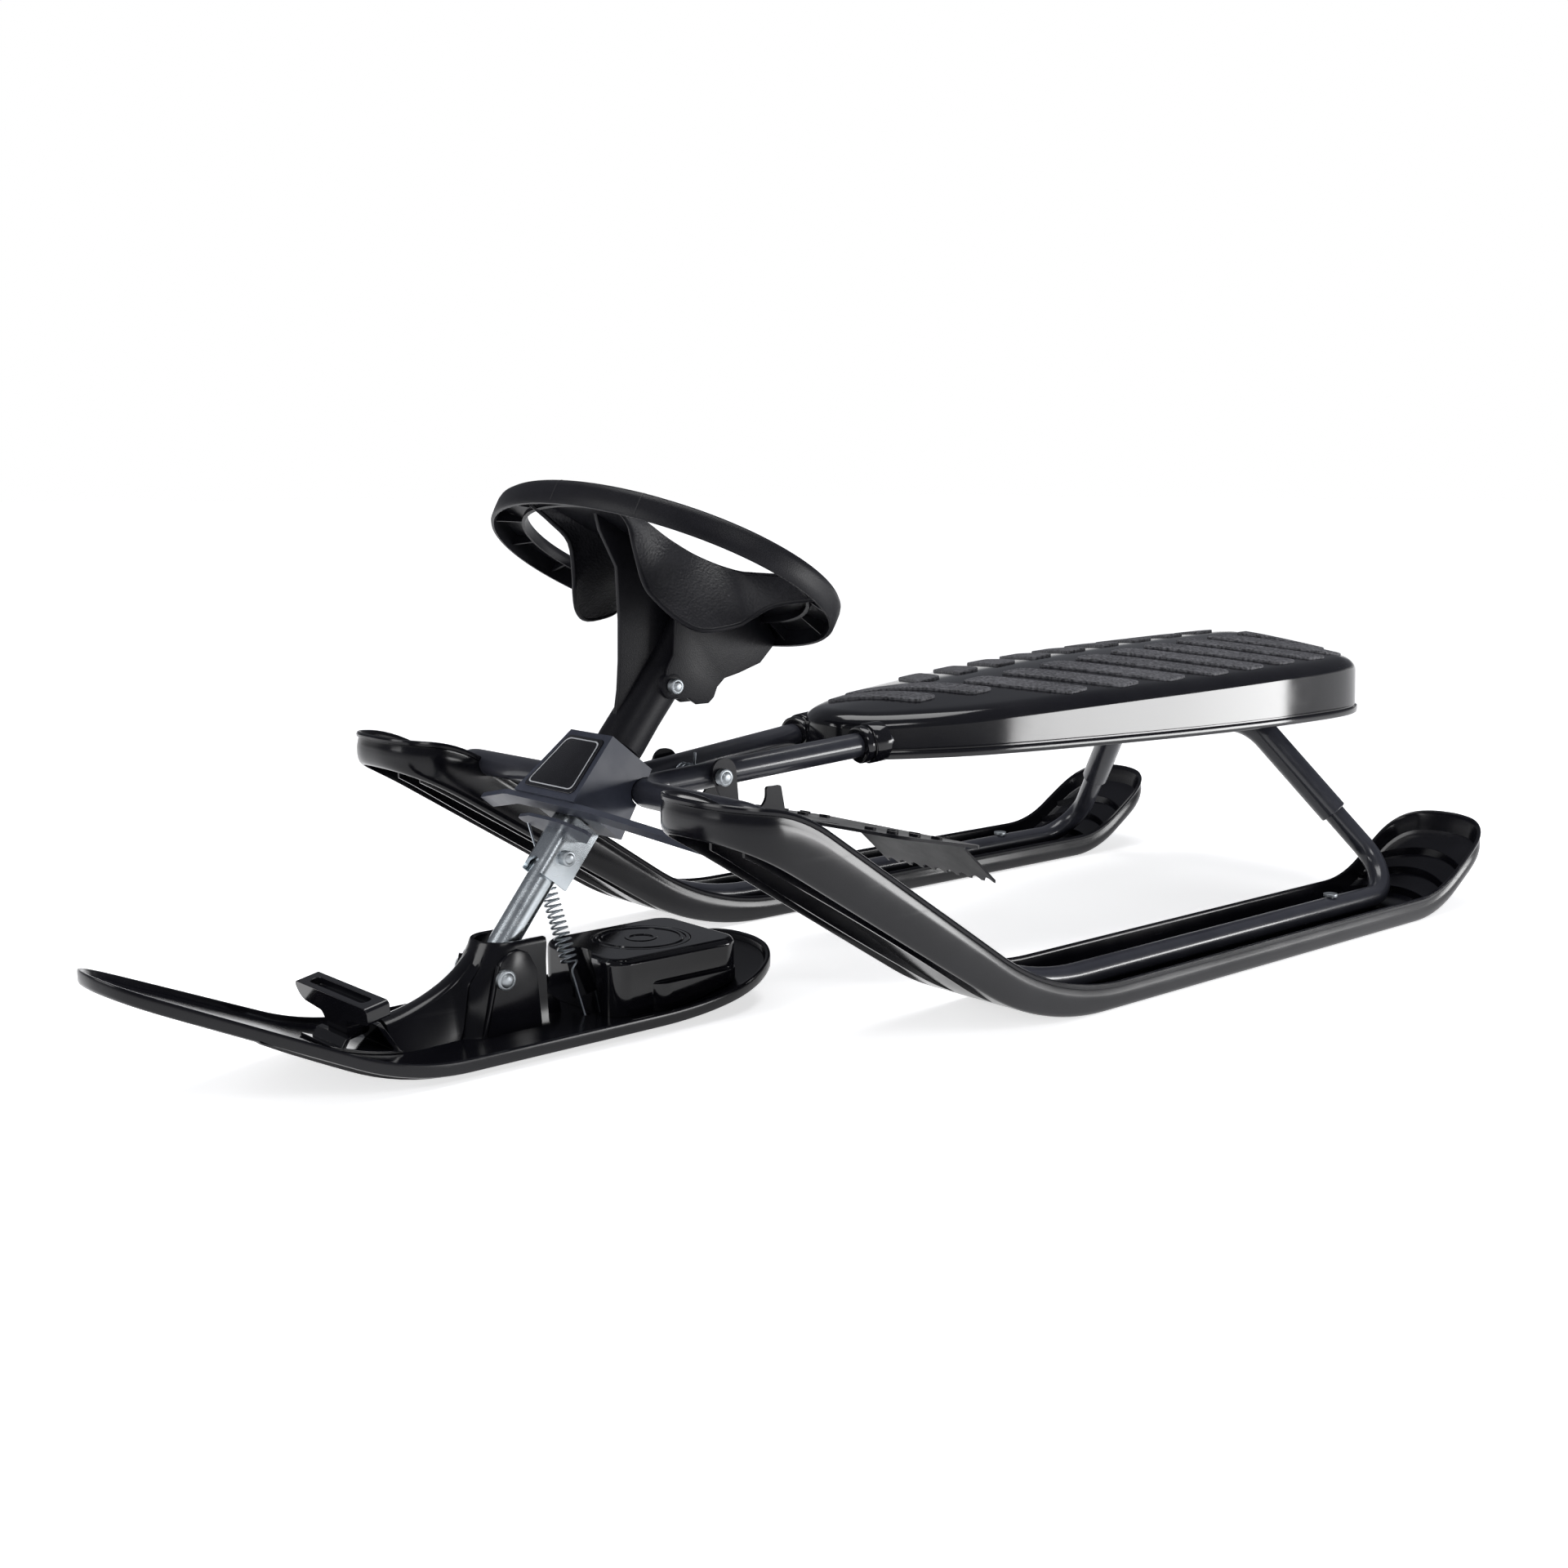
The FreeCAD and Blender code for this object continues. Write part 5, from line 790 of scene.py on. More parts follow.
@dataclass
class SteeringWheel:
    """The oval wheel: a channel rim, a deck with two hand openings, skirts, webs and a sleeve."""

    fitter: Fitter
    centre: tuple[float, float, float] = (163.0, 0.0, 326.0)
    tilt: float = 29.0
    half_length: float = 112.0
    half_width: float = 152.0
    rim_steps: int = 112
    rim_section: Plan = (
        (1.2, -19.0), (0.3, -17.5), (0.0, -12.0), (0.0, -6.0), (0.6, -3.0), (2.4, -1.0), (5.5, 0.0),
        (12.0, 0.4), (18.5, 0.0), (21.6, -1.0), (23.4, -3.0), (24.0, -6.0), (24.0, -10.0), (21.5, -10.0),
        (21.0, -6.5), (12.0, -5.5), (4.0, -6.5), (3.4, -12.0), (3.2, -19.0))
    rim_middle: float = 12.0
    rim_inner: float = 22.0
    rib_section: Plan = ((3.0, -15.0), (21.5, -9.0), (21.5, -6.0), (3.0, -6.0))
    rib_step: float = 24.0
    rib_thick: float = 1.6
    grip_first: int = 1
    grip_last: int = 11
    seam_turns: tuple[float, ...] = (-33.0, 4.0, 33.0, 147.0, -147.0)
    seam_half: float = 0.16
    seam_lift: float = 0.12
    hand_edge: Plan = (
        (92, 43), (70, 41), (50, 39), (32, 36), (20, 36), (6, 38), (-6, 45), (-14, 54), (-19, 66), (-19, 82),
        (-19, 128))
    skirt_foot: Points = (
        (88, 50, -8), (70, 46, -12), (54, 38, -20), (37, 41, -39), (27, 48, -47), (11, 60, -54),
        (-5, 68, -53.5), (-26, 73, -39), (-32, 78, -29), (-36, 92, -17), (-42, 122, -8))
    edge_steps: int = 4
    skirt_steps: int = 10
    skirt_swell: tuple[float, float, float] = (0.9, 1.5, 0.6)
    skirt_thick: float = 2.6
    bead_radius: float = 1.9
    deck_depth: float = 3.0
    deck_thick: float = 3.0
    deck_columns: int = 12
    deck_rear: tuple[float, ...] = (-30.0, -45.0, -60.0, -75.0, -88.0)
    column_foot: float = 360.0
    column_rake: float = 38.5
    web_rear: Plan = (
        (76, 260), (92, 245), (112, 239), (126, 236), (133, 230), (136, 223), (141, 219), (152, 219),
        (160, 224))
    web_front: Plan = (
        (214, 201), (211, 214), (208, 232), (206.5, 252), (206, 281), (208, 318), (222, 344))
    side_front: Plan = ((168, 224), (176, 228), (180, 236), (178, 246), (172, 256), (170, 290))
    middle_web: tuple[float, float, float] = (-2.0, 4.0, 70.0)
    side_webs: Points = ((16.5, 3.4, 14.0), (-19.9, 3.4, 14.0))
    web_end: float = -86.0
    web_edge: float = 0.9
    keel_half: float = 18.0
    keel_points: int = 6
    keel_rise: float = 2.0
    keel_thick: float = 2.6
    sleeve_foot: float = 190.0
    sleeve_head: float = 300.0
    sleeve_profile: Plan = ((10.4, 0.0), (16.2, 0.0), (17.2, 1.0), (17.4, 6.0), (17.0, 30.0), (18.0, 80.0))
    sleeve_flare: float = 22.0
    bolt_height: float = 234.0
    boss_half: Plan = ((9.8, 12.0), (9.4, 19.2), (8.2, 20.2), (3.2, 20.2))

    def at(self, p: float, q: float, n: float) -> Vector:
        """Gives a point of the wheel's own frame.

        Args:
            p: Millimetres forward in the wheel's plane.
            q: Millimetres to the rider's left.
            n: Millimetres above the wheel's plane.

        Returns:
            The point in metres.
        """
        tilt = math.radians(self.tilt)
        ahead = Vector((math.cos(tilt), 0.0, math.sin(tilt)))
        above = Vector((-math.sin(tilt), 0.0, math.cos(tilt)))
        return (Vector(self.centre) + ahead * p + Vector((0.0, q, 0.0)) + above * n) * MM

    def rim_point(self, turn: float, inset: float, n: float) -> Vector:
        """Gives a point of the rim, by its turn, its inset and its depth."""
        along, across = self.half_length - inset, self.half_width - inset
        return self.at(along * math.cos(turn), across * math.sin(turn), n)

    def column_point(self, z: float) -> Vector:
        """Gives the column's axis at a height in millimetres."""
        return Vector((self.column_foot - z * math.tan(math.radians(self.column_rake)), 0.0, z)) * MM

    def fit(self, piece: bpy.types.Object, finish: str = "wheel_black_plastic", *nodes: str,
            smooth: float = 40.0) -> None:
        """Hands one piece of the wheel over, to ride on the steering body."""
        self.fitter.fit(piece, Body.STEERING, Slot.WHEEL, finish, *nodes, smooth=smooth)

    def build(self) -> None:
        """Builds all of the wheel's pieces."""
        self.rim()
        self.seams()
        self.deck()
        for side, name in SIDES:
            self.skirt(side, name)
        self.webs()
        self.sleeve()

    def rim(self) -> None:
        """Builds the channel rim with its cross ribs."""
        rows = []
        for k in range(self.rim_steps):
            turn = math.tau * k / self.rim_steps
            rows.append([self.rim_point(turn, inset, n) for inset, n in self.rim_section])
        rim = Bench.net("wheel_rim", rows, round_rows=True, round_columns=True)
        self.fit(rim, "wheel_black_plastic", "steering_wheel", smooth=50.0)
        ribs = []
        nudge = 0.01
        for k in range(round(360.0 / self.rib_step)):
            turn = math.radians(self.rib_step * k)
            outline = [self.rim_point(turn, inset, n) for inset, n in self.rib_section]
            here, ahead = (self.rim_point(angle, self.rim_middle, 0.0) for angle in (turn, turn + nudge))
            ribs.append(Bench.plate("rim_rib", outline, (ahead - here).normalized() * self.rib_thick * MM))
        self.fit(Bench.joined("wheel_rim_ribs", ribs))

    def seams(self) -> None:
        """Builds the fine parting lines across the rim's grip."""
        strips = []
        section = self.rim_section[self.grip_first:self.grip_last + 1]
        grip = [(inset - self.seam_lift, n + self.seam_lift) for inset, n in section]
        for degrees in self.seam_turns:
            turns = [math.radians(degrees + offset) for offset in (-self.seam_half, self.seam_half)]
            rows = [[self.rim_point(turn, inset, n) for inset, n in grip] for turn in turns]
            strips.append(Bench.net("rim_seam", rows))
        self.fit(Bench.joined("wheel_rim_seams", strips), "inner_plastic")

    def edge_line(self, side: float) -> list[Vector]:
        """Gives the smooth inner edge of a hand opening, on one side of the wheel."""
        corners = [Vector((p, q * side, -self.deck_depth)) for p, q in self.hand_edge]
        return Bench.smooth_line(corners, self.edge_steps)

    def deck(self) -> None:
        """Builds the deck: a front spoke that widens into the closed rear half."""
        left, right = self.edge_line(1.0), self.edge_line(-1.0)
        shares = [k / self.deck_columns for k in range(self.deck_columns + 1)]
        rows = [[a.lerp(b, share) for share in shares] for a, b in zip(left, right)]
        least = 0.02
        for p in self.deck_rear:
            bow = math.sqrt(max(least, 1.0 - (p / (self.half_length - self.rim_inner)) ** 2))
            reach = (self.half_width - self.rim_inner) * bow
            rows.append([Vector((p, reach * (1 - 2 * share), -self.deck_depth)) for share in shares])
        deck = Bench.net("wheel_deck", [[self.at(*point) for point in row] for row in rows])
        Bench.apply(deck, "SOLIDIFY", thickness=self.deck_thick * MM, offset=0.0)
        self.fit(deck)

    def skirt(self, side: float, name: str) -> None:
        """Builds one grained skirt below a hand opening, with the bead along its foot.

        Args:
            side: 1 on the rider's left, -1 on the right.
            name: The side's name.
        """
        top = self.edge_line(side)
        corners = [Vector((p, q * side, n)) for p, q, n in self.skirt_foot]
        foot = Bench.smooth_line(corners, self.edge_steps)
        rows = []
        for k in range(self.skirt_steps + 1):
            t = k / self.skirt_steps
            swell = Vector(self.skirt_swell) * Vector((1.0, side, 1.0)) * math.sin(math.pi * t)
            rows.append([self.at(*(a.lerp(b, t) + swell)) for a, b in zip(top, foot)])
        skirt = Bench.net(name + "_hand_skirt", rows)
        Bench.apply(skirt, "SOLIDIFY", thickness=self.skirt_thick * MM, offset=0.0)
        self.fit(skirt, "skirt_grain_and_shade", smooth=60.0)
        bead = Bench.tube(name + "_skirt_bead", [self.at(*point) for point in foot], self.bead_radius * MM)
        self.fit(bead, smooth=60.0)

    def webs(self) -> None:
        """Builds the three upright webs and the keel that closes their foot."""
        webs = []
        for web in (self.middle_web, *self.side_webs):
            y, thick, first = web
            front = self.web_front if web == self.middle_web else self.side_front
            outline = [Vector((x, y, z)) * MM for x, z in self.web_rear + front]
            outline += [self.at(p, y, -self.deck_depth) for p in (first, self.web_end)]
            webs.append(Bench.plate("wheel_web", outline, Vector((0.0, thick * MM, 0.0)), self.web_edge * MM))
        foot = self.web_rear[:self.keel_points]
        half = self.keel_half
        rows = [[Vector((x, y, z + self.keel_rise)) * MM for x, z in foot] for y in (-half, half)]
        keel = Bench.net("wheel_keel", rows)
        Bench.apply(keel, "SOLIDIFY", thickness=self.keel_thick * MM, offset=0.0)
        self.fit(Bench.joined("wheel_webs", webs + [keel]))

    def sleeve(self) -> None:
        """Builds the sleeve round the column and the bosses of its bolt."""
        foot, head = self.column_point(self.sleeve_foot), self.column_point(self.sleeve_head)
        tall = (head - foot).length / MM
        bore = self.sleeve_profile[0][0]
        profile = (*self.sleeve_profile, (self.sleeve_flare, tall), (bore, tall))
        self.fit(Bench.turned("wheel_sleeve", foot, head - foot, profile))
        boss = [(radius, -height) for radius, height in reversed(self.boss_half)] + list(self.boss_half)
        bolt = self.column_point(self.bolt_height)
        self.fit(Bench.turned("wheel_bolt_boss", bolt, Vector((0.0, 1.0, 0.0)), boss))


@dataclass
class SeatShell:
    """The moulded seat: a ridged top with rounded edges, leaning sides and a lip round its foot."""

    fitter: Fitter
    half_plan: Plan = (
        (14, 0), (12.5, 12), (7, 25), (-5, 41), (-30, 57), (-74, 77), (-125, 91), (-180, 102.5), (-245, 114),
        (-314, 124), (-390, 131), (-461, 133), (-512, 130), (-545, 120), (-566, 104), (-577, 80),
        (-582, 45), (-584, 0))
    front_x: float = 8.0
    length: float = 586.0
    front_ridge: float = 200.0
    ridge_growth: float = 35.0
    ridge_curve: float = 0.8
    crown: float = 18.0
    crown_half: float = 133.0
    ridge_rounding: float = 0.03
    tail_drop: float = 14.0
    bottom: float = 166.0
    skin: float = 3.5
    edge: float = 15.0
    edge_drop: float = 10.0
    edge_steps: int = 8
    side_lean: float = 1.0
    under_lean: float = 3.0
    under_shares: tuple[float, ...] = (0.0, 0.3, 0.6, 0.85, 1.0)
    top_shares: tuple[float, ...] = (0.9, 0.78, 0.64, 0.5, 0.36, 0.24, 0.14, 0.06, 0.0)
    lip: Plan = (
        (3.5, 0.6), (3.0, 0.0), (-1.2, 0.0), (-1.9, 0.6), (-2.1, 1.6), (-2.1, 5.0), (-1.6, 6.0), (0.4, 6.3),
        (0.5, 7.4), (-0.2, 7.9), (0.0, 9.0))
    middle: tuple[float, float] = (-470.0, -20.0)
    outline_steps: int = 6
    tail_from: float = 0.9
    tail_reach: float = 0.15
    collar_place: tuple[float, float, float] = (4.0, 37.6, 178.5)
    collar_profile: Plan = (
        (9.7, -16.0), (15.6, -16.0), (15.6, -3.0), (15.0, -2.2), (13.6, -1.8), (13.4, -0.6), (14.4, 0.0),
        (14.4, 4.6), (13.8, 5.4), (12.0, 5.8), (9.7, 5.8))
    tube_way: tuple[float, float, float] = (236.0, -26.0, -19.0)

    def roof(self, x: float, y: float) -> float:
        """Gives the height of the seat's top.

        Args:
            x: Millimetres forward.
            y: Millimetres to the rider's left.

        Returns:
            The height in millimetres.
        """
        share = min(max((self.front_x - x) / self.length, 0.0), 1.0)
        ridge = self.front_ridge + self.ridge_growth * math.sin(share * math.pi / 2) ** self.ridge_curve
        out = abs(y) / self.crown_half
        least, most = math.sqrt(self.ridge_rounding), math.sqrt(1.0 + self.ridge_rounding)
        slope = (math.sqrt(out * out + self.ridge_rounding) - least) / (most - least)
        tail = max(0.0, share - self.tail_from) / self.tail_reach
        return ridge - self.crown * slope - self.tail_drop * tail

    def below(self, drop: float) -> Height:
        """Gives the heights of a surface that lies so far below the top."""
        return lambda x, y: self.roof(x, y) - drop

    def build(self) -> bpy.types.Object:
        """Lofts the shell and turns the collars of the two frame tubes.

        Returns:
            The shell, which the pads are draped over.
        """
        rings = [(self.edge, share, self.below(self.skin)) for share in self.under_shares]
        rings.append((self.skin + self.under_lean, 1.0, self.below(self.edge)))
        rings += [(inset, 1.0, lambda x, y, z=self.bottom + rise: z) for inset, rise in self.lip]
        for k in range(self.edge_steps + 1):
            turn = math.pi / 2 * k / self.edge_steps
            inset = self.side_lean + (self.edge - self.side_lean) * (1.0 - math.cos(turn))
            rings.append((inset, 1.0, self.below(self.edge_drop * (1.0 - math.sin(turn)))))
        rings += [(self.edge, share, self.roof) for share in self.top_shares]
        outline = Bench.mirrored(self.half_plan, self.outline_steps)
        shell = Bench.shell("moulded_seat", outline, rings, self.middle)
        self.fitter.fit(shell, Body.FRAME, Slot.SEAT, "gloss_black_plastic", "seat_shell", smooth=35.0)
        for side, name in SIDES:
            turn = Vector((1.0, side, 1.0))
            place, way = Vector(self.collar_place) * turn * MM, Vector(self.tube_way) * turn
            collar = Bench.turned(name + "_tube_collar", place, way, self.collar_profile)
            self.fitter.fit(collar, Body.FRAME, Slot.SEAT, "gloss_black_plastic")
        return shell


@dataclass
class SeatPads:
    """The slanted, grained grip pads on the seat's crown."""

    fitter: Fitter
    shell: bpy.types.Object
    first_x: tuple[float, float] = (-126.0, -108.0)
    pitch: float = 47.0
    count: int = 9
    width: float = 27.0
    spine: float = 15.0
    slant: float = 33.0
    thick: float = 2.2
    margin: float = 2.0
    longest: float = 104.0
    shortest: float = 30.0
    flattest: float = 0.9
    edge_layers: Points = (
        (-0.8, 0.0, 0.0), (-0.2, 0.3, 0.0), (0.0, 1.0, 0.0), (0.0, 5.0, 0.5), (0.0, 9.0, 0.8))
    corner: float = 7.0
    least_corner: float = 0.01
    corner_steps: int = 5
    end_parts: int = 4
    side_parts: int = 10
    sunk: float = -0.5
    above: float = 1000.0
    wide_rows: tuple[tuple[float, float, float, float], ...] = (
        (-22.0, 35.0, 24.0, 0.5), (-52.0, 47.0, 25.0, 0.6))

    def build(self) -> None:
        """Builds both rows of pads as one piece."""
        lean = math.tan(math.radians(self.slant))
        pads = []
        for x, half, wide, own_lean in self.wide_rows:
            pads.append(self.pad(Vector((x, -half, 0.0)), 1.0, own_lean, half * 2, wide))
        for side, first in zip((1.0, -1.0), self.first_x):
            for index in range(self.count):
                start = Vector((first - self.pitch * index, self.spine, 0.0))
                reach = self.reach(start.x, side, lean)
                if reach > self.shortest:
                    pads.append(self.pad(start, side, lean, reach, self.width))
        piece = Bench.joined("seat_grip_pads", pads)
        self.fitter.fit(piece, Body.FRAME, Slot.PADS, "grip_pad_grain_and_shade", "seat_pads", smooth=60.0)

    def pad(self, start: Vector, side: float, lean: float, reach: float, wide: float) -> bpy.types.Object:
        """Drapes one pad over the seat's shell.

        Args:
            start: Its front corner at the middle, in millimetres.
            side: 1 on the rider's left, -1 on the right.
            lean: How far it leans back per millimetre outwards.
            reach: How far it goes out.
            wide: Its width along the seat.

        Returns:
            The new piece.
        """
        layers = [(self.sunk, 0.0, 0.0)]
        layers += [(self.thick + lift, inset, rounding) for lift, inset, rounding in self.edge_layers]
        layers.append((self.thick, wide / 2, 1.0))
        rows = []
        for layer, inset, rounding in layers:
            outline = self.outline(inset, wide - inset, reach - inset, self.corner * (1.0 - rounding))
            rows.append([self.on_shell(start, side, lean, point, layer) for point in outline])
        return Bench.net("grip_pad", rows, round_rows=True, caps=True)

    def outline(self, low: float, wide: float, long: float, corner: float) -> list[Vector]:
        """Draws a rounded oblong, with points along its straight sides.

        Args:
            low: Where it begins, both ways.
            wide: Where its width ends.
            long: Where its length ends.
            corner: The rounding of its corners.

        Returns:
            The outline's points in millimetres.
        """
        corners = [Vector((x, y, 0.0)) for x, y in ((low, low), (low, long), (wide, long), (wide, low))]
        line = Bench.rounded(corners, max(corner, self.least_corner), self.corner_steps)
        parts = (self.side_parts, self.end_parts)
        points = []
        for index, point in enumerate(line):
            turn, step = divmod(index, self.corner_steps + 1)
            count = parts[turn % 2] if step == self.corner_steps else 1
            after = line[(index + 1) % len(line)]
            points += [point.lerp(after, k / count) for k in range(count)]
        return points

    def reach(self, x: float, side: float, lean: float) -> float:
        """Finds how far a pad goes out before the shell's edge turns down.

        Args:
            x: Where the pad starts.
            side: 1 on the rider's left, -1 on the right.
            lean: How far the pad leans back per millimetre outwards.

        Returns:
            The pad's length across the seat, in millimetres.
        """
        reach = 0.0
        while reach < self.longest:
            ends = [Vector((x - lean * reach - back, side * (self.spine + reach), self.above)) * MM
                    for back in (0.0, self.width)]
            hits = [self.shell.ray_cast(end, -UP) for end in ends]
            if not all(hit and normal.z > self.flattest for hit, _, normal, _ in hits):
                break
            reach += 1.0
        return reach - self.margin

    def on_shell(self, start: Vector, side: float, lean: float, point: Vector, layer: float) -> Vector:
        """Puts a pad's own point onto the seat's shell.

        Args:
            start: The pad's front corner at the middle, in millimetres.
            side: 1 on the rider's left, -1 on the right.
            lean: How far the pad leans back per millimetre outwards.
            point: The point in the pad's own plan, in millimetres.
            layer: Its height above the shell, in millimetres.

        Returns:
            The point in metres.
        """
        place = Vector((start.x - lean * point.y - point.x, side * (start.y + point.y), self.above)) * MM
        hit, spot, _, _ = self.shell.ray_cast(place, -UP)
        if not hit:
            raise ValueError(f"no shell below {tuple(place)}")
        return spot + UP * layer * MM


@dataclass
class LabelPlate:
    """The bare plate on the hood, with its fine pale border."""

    fitter: Fitter
    inset: float = 2.6
    line: float = 0.8
    lift: float = 0.25
    corner: float = 5.0
    corner_steps: int = 6
    edge: float = 0.4
    thick: float = 0.3
    flat_gap: float = 0.1
    end_gap: float = 8.0

    def build(self) -> None:
        """Builds the plate with eased edges and the border on its face."""
        copy = EasedCopies(self.fitter).eased("label_plate", self.edge * MM)
        self.fitter.fit(copy, Body.FRAME, Slot.LABEL, "label_black", "label_plate")
        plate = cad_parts["label_plate"].data
        face = max(plate.polygons, key=lambda polygon: polygon.normal.x + polygon.normal.z)
        normal = face.normal.copy()
        across = Vector((0.0, 1.0, 0.0))
        along = across.cross(normal).normalized()
        points = [vertex.co for vertex in plate.vertices]
        top = max(point.dot(normal) for point in points)
        flat = [point for point in points if point.dot(normal) > top - self.flat_gap * MM]
        low, high = (pick(point.dot(along) for point in flat) for pick in (min, max))
        low_half, high_half = (max(abs(p.y) for p in flat if abs(p.dot(along) - level) < self.end_gap * MM)
                               for level in (low, high))
        rows = []
        for inset in (self.inset, self.inset + self.line):
            gap = inset * MM
            left = [(low + gap, low_half - gap), (high - gap, high_half - gap)]
            corners = left + [(a, -y) for a, y in reversed(left)]
            outline = [along * a + across * y + normal * (top + self.lift * MM) for a, y in corners]
            rows.append(Bench.rounded(outline, self.corner * MM, self.corner_steps))
        border = Bench.net("label_border", rows, round_rows=True)
        Bench.apply(border, "SOLIDIFY", thickness=self.thick * MM, offset=0.0)
        self.fitter.fit(border, Body.FRAME, Slot.LABEL, "pale_print")


@dataclass
class RearSki:
    """Both rear runners: channels with a rounded lip, a hollow risen tip and a ribbed tail."""

    fitter: Fitter
    centre_y: float = 191.0
    half_width: float = 49.0
    tip_x: float = 299.0
    tail_x: float = -595.0
    tip_top: float = 189.0
    wall: float = 21.0
    floor: float = 4.0
    bend_x: float = 4.0
    slope: float = 33.5
    tip_slope: float = 7.0
    band: float = 21.0
    sole_bend_x: float = 20.0
    sole_slope: float = 31.5
    sole_tip_slope: float = 17.0
    bend_radius: float = 240.0
    tail_from: float = -502.0
    tail_slope: float = 31.0
    tail_radius: float = 110.0
    level_softness: float = 14.0
    hollow: float = 12.0
    hollow_from: float = 40.0
    hollow_reach: float = 110.0
    tip_plan: Plan = ((0.0, 0.0), (1.2, 0.36), (6.5, 0.66), (17.0, 0.88), (33.0, 0.985))
    tail_plan: Plan = ((30.0, 0.97), (14.0, 0.84), (5.0, 0.62), (1.0, 0.32), (0.0, 0.0))
    straight: range = range(240, -541, -30)
    outline_steps: int = 4
    tail_end: float = 55.0
    tip_end: float = 45.0
    under: tuple[tuple[float, float, float, float], ...] = (
        (9.0, 0.0, 0.0, 1.0), (9.0, 0.6, 0.0, 1.0), (9.0, 1.0, 0.0, 1.0), (6.0, 1.0, 0.0, 0.92),
        (5.0, 1.0, 0.2, 0.0), (3.4, 1.0, 0.3, 0.0), (1.8, 1.0, 1.4, 0.0), (0.7, 1.0, 3.8, 0.0),
        (0.1, 1.0, 7.0, 0.0))
    lip: Plan = (
        (0.1, -12.0), (0.6, -8.6), (1.3, -5.8), (1.4, -4.6), (0.3, -3.8), (0.0, -2.0), (0.6, -0.6),
        (1.6, 0.0), (2.7, -0.3), (3.4, -1.4), (3.8, -3.0), (4.4, -9.0))
    inner: Points = ((5.4, 1.0, 1.6), (8.0, 1.0, 0.2), (11.0, 1.0, 0.0), (11.0, 0.5, 0.0), (11.0, 0.0, 0.0))
    rib_rows: tuple[float, float] = (-15.0, 17.0)
    rib_start: float = 30.0
    rib_end: float = 32.0
    rib_steps: int = 30
    rib_sway: float = 10.0
    rib_halves: tuple[float, float] = (1.4, 1.1)
    rib_low: float = 0.4
    rib_sink: float = 1.0
    tail_ribs: tuple[float, float, float] = (-512.0, -538.0, -562.0)
    tail_rib_steps: int = 16
    tail_rib_bow: float = 16.0
    tail_rib_gap: float = 6.0
    tail_rib_halves: tuple[float, float] = (1.0, 0.8)
    tail_rib_sink: float = 0.6
    tail_rib_height: float = 6.5

    @staticmethod
    def eased_bend(x: float, corner: float, slope: float, radius: float) -> float:
        """Gives the rise past a rounded bend from level to a slope.

        Args:
            x: Millimetres past the start.
            corner: Where the two straight lines would meet.
            slope: The slope in degrees.
            radius: The bend's radius.

        Returns:
            The rise in millimetres.
        """
        turn = math.radians(slope)
        start = corner - radius * math.tan(turn / 2)
        end = start + radius * math.sin(turn)
        reach = min(max(x - start, 0.0), end - start)
        return radius - math.sqrt(radius ** 2 - reach ** 2) + max(0.0, x - end) * math.tan(turn)

    def rise(self, x: float, corner: float, slope: float, tip: float, tip_slope: float) -> float:
        """Gives the rise of one edge from the runner to the tip, softened where it levels out.

        Args:
            x: Millimetres forward.
            corner: Where the slope begins.
            slope: The slope in degrees.
            tip: The edge's height at the tip.
            tip_slope: The slope at the tip in degrees.

        Returns:
            The rise in millimetres.
        """
        climb = self.eased_bend(x, corner, slope, self.bend_radius)
        if x < corner:
            return climb
        limit = tip - (self.tip_x - x) * math.tan(math.radians(tip_slope))
        gap = climb - limit
        soft = self.level_softness
        if gap < -soft:
            return climb
        if gap > soft:
            return limit
        return climb - (gap + soft) ** 2 / (4.0 * soft)

    def tail(self, x: float) -> float:
        """Gives the rise of the tail behind the runner."""
        return self.eased_bend(-x, -self.tail_from, self.tail_slope, self.tail_radius)

    def sole(self, x: float) -> float:
        """Gives the height of the underside's edge."""
        tip = self.tip_top - self.band
        return self.tail(x) + self.rise(x, self.sole_bend_x, self.sole_slope, tip, self.sole_tip_slope)

    def top(self, x: float) -> float:
        """Gives the height of the wall's top edge."""
        climb = self.rise(x, self.bend_x, self.slope, self.tip_top - self.wall, self.tip_slope)
        return self.tail(x) + self.wall + climb

    def recess(self, x: float) -> float:
        """Gives how far the underside is hollowed below the risen front."""
        return self.hollow * min(max((x - self.hollow_from) / self.hollow_reach, 0.0), 1.0)

    def build(self) -> None:
        """Builds both skis."""
        for side, name in SIDES:
            self.channel(side, name)
            self.ribs(side, name)

    def plan(self) -> list[Vector]:
        """Gives the runner's outline from above, about its own middle line.

        Returns:
            The outline's points in millimetres.
        """
        front = [(self.tip_x - back, self.half_width * share) for back, share in self.tip_plan]
        straight = [(x, self.half_width) for x in self.straight]
        rear = [(self.tail_x + ahead, self.half_width * share) for ahead, share in self.tail_plan]
        return Bench.mirrored(front + straight + rear, self.outline_steps)

    def channel(self, side: float, name: str) -> None:
        """Lofts one runner.

        Args:
            side: 1 on the rider's left, -1 on the right.
            name: The side's name.
        """
        rings = [(inset, share, self.above_sole(lift, hollow)) for inset, share, lift, hollow in self.under]
        rings += [(inset, 1.0, lambda x, y, lift=lift: self.top(x) + lift) for inset, lift in self.lip]
        floor = self.floor
        rings += [(inset, share, self.above_sole(floor + lift, 1.0)) for inset, share, lift in self.inner]
        middle = (self.tail_x + self.tail_end, self.tip_x - self.tip_end)
        piece = Bench.shell(name + "_runner", self.plan(), rings, middle)
        self.shift(piece, side)
        self.fitter.fit(piece, Body.FRAME, Slot.SKI, "ski_black_plastic", name + "_ski", smooth=32.0)

    def above_sole(self, lift: float, hollow: float) -> Height:
        """Gives the heights of a surface over the sole, which follows a share of its hollow."""
        return lambda x, y: self.sole(x) + lift + self.recess(x) * hollow

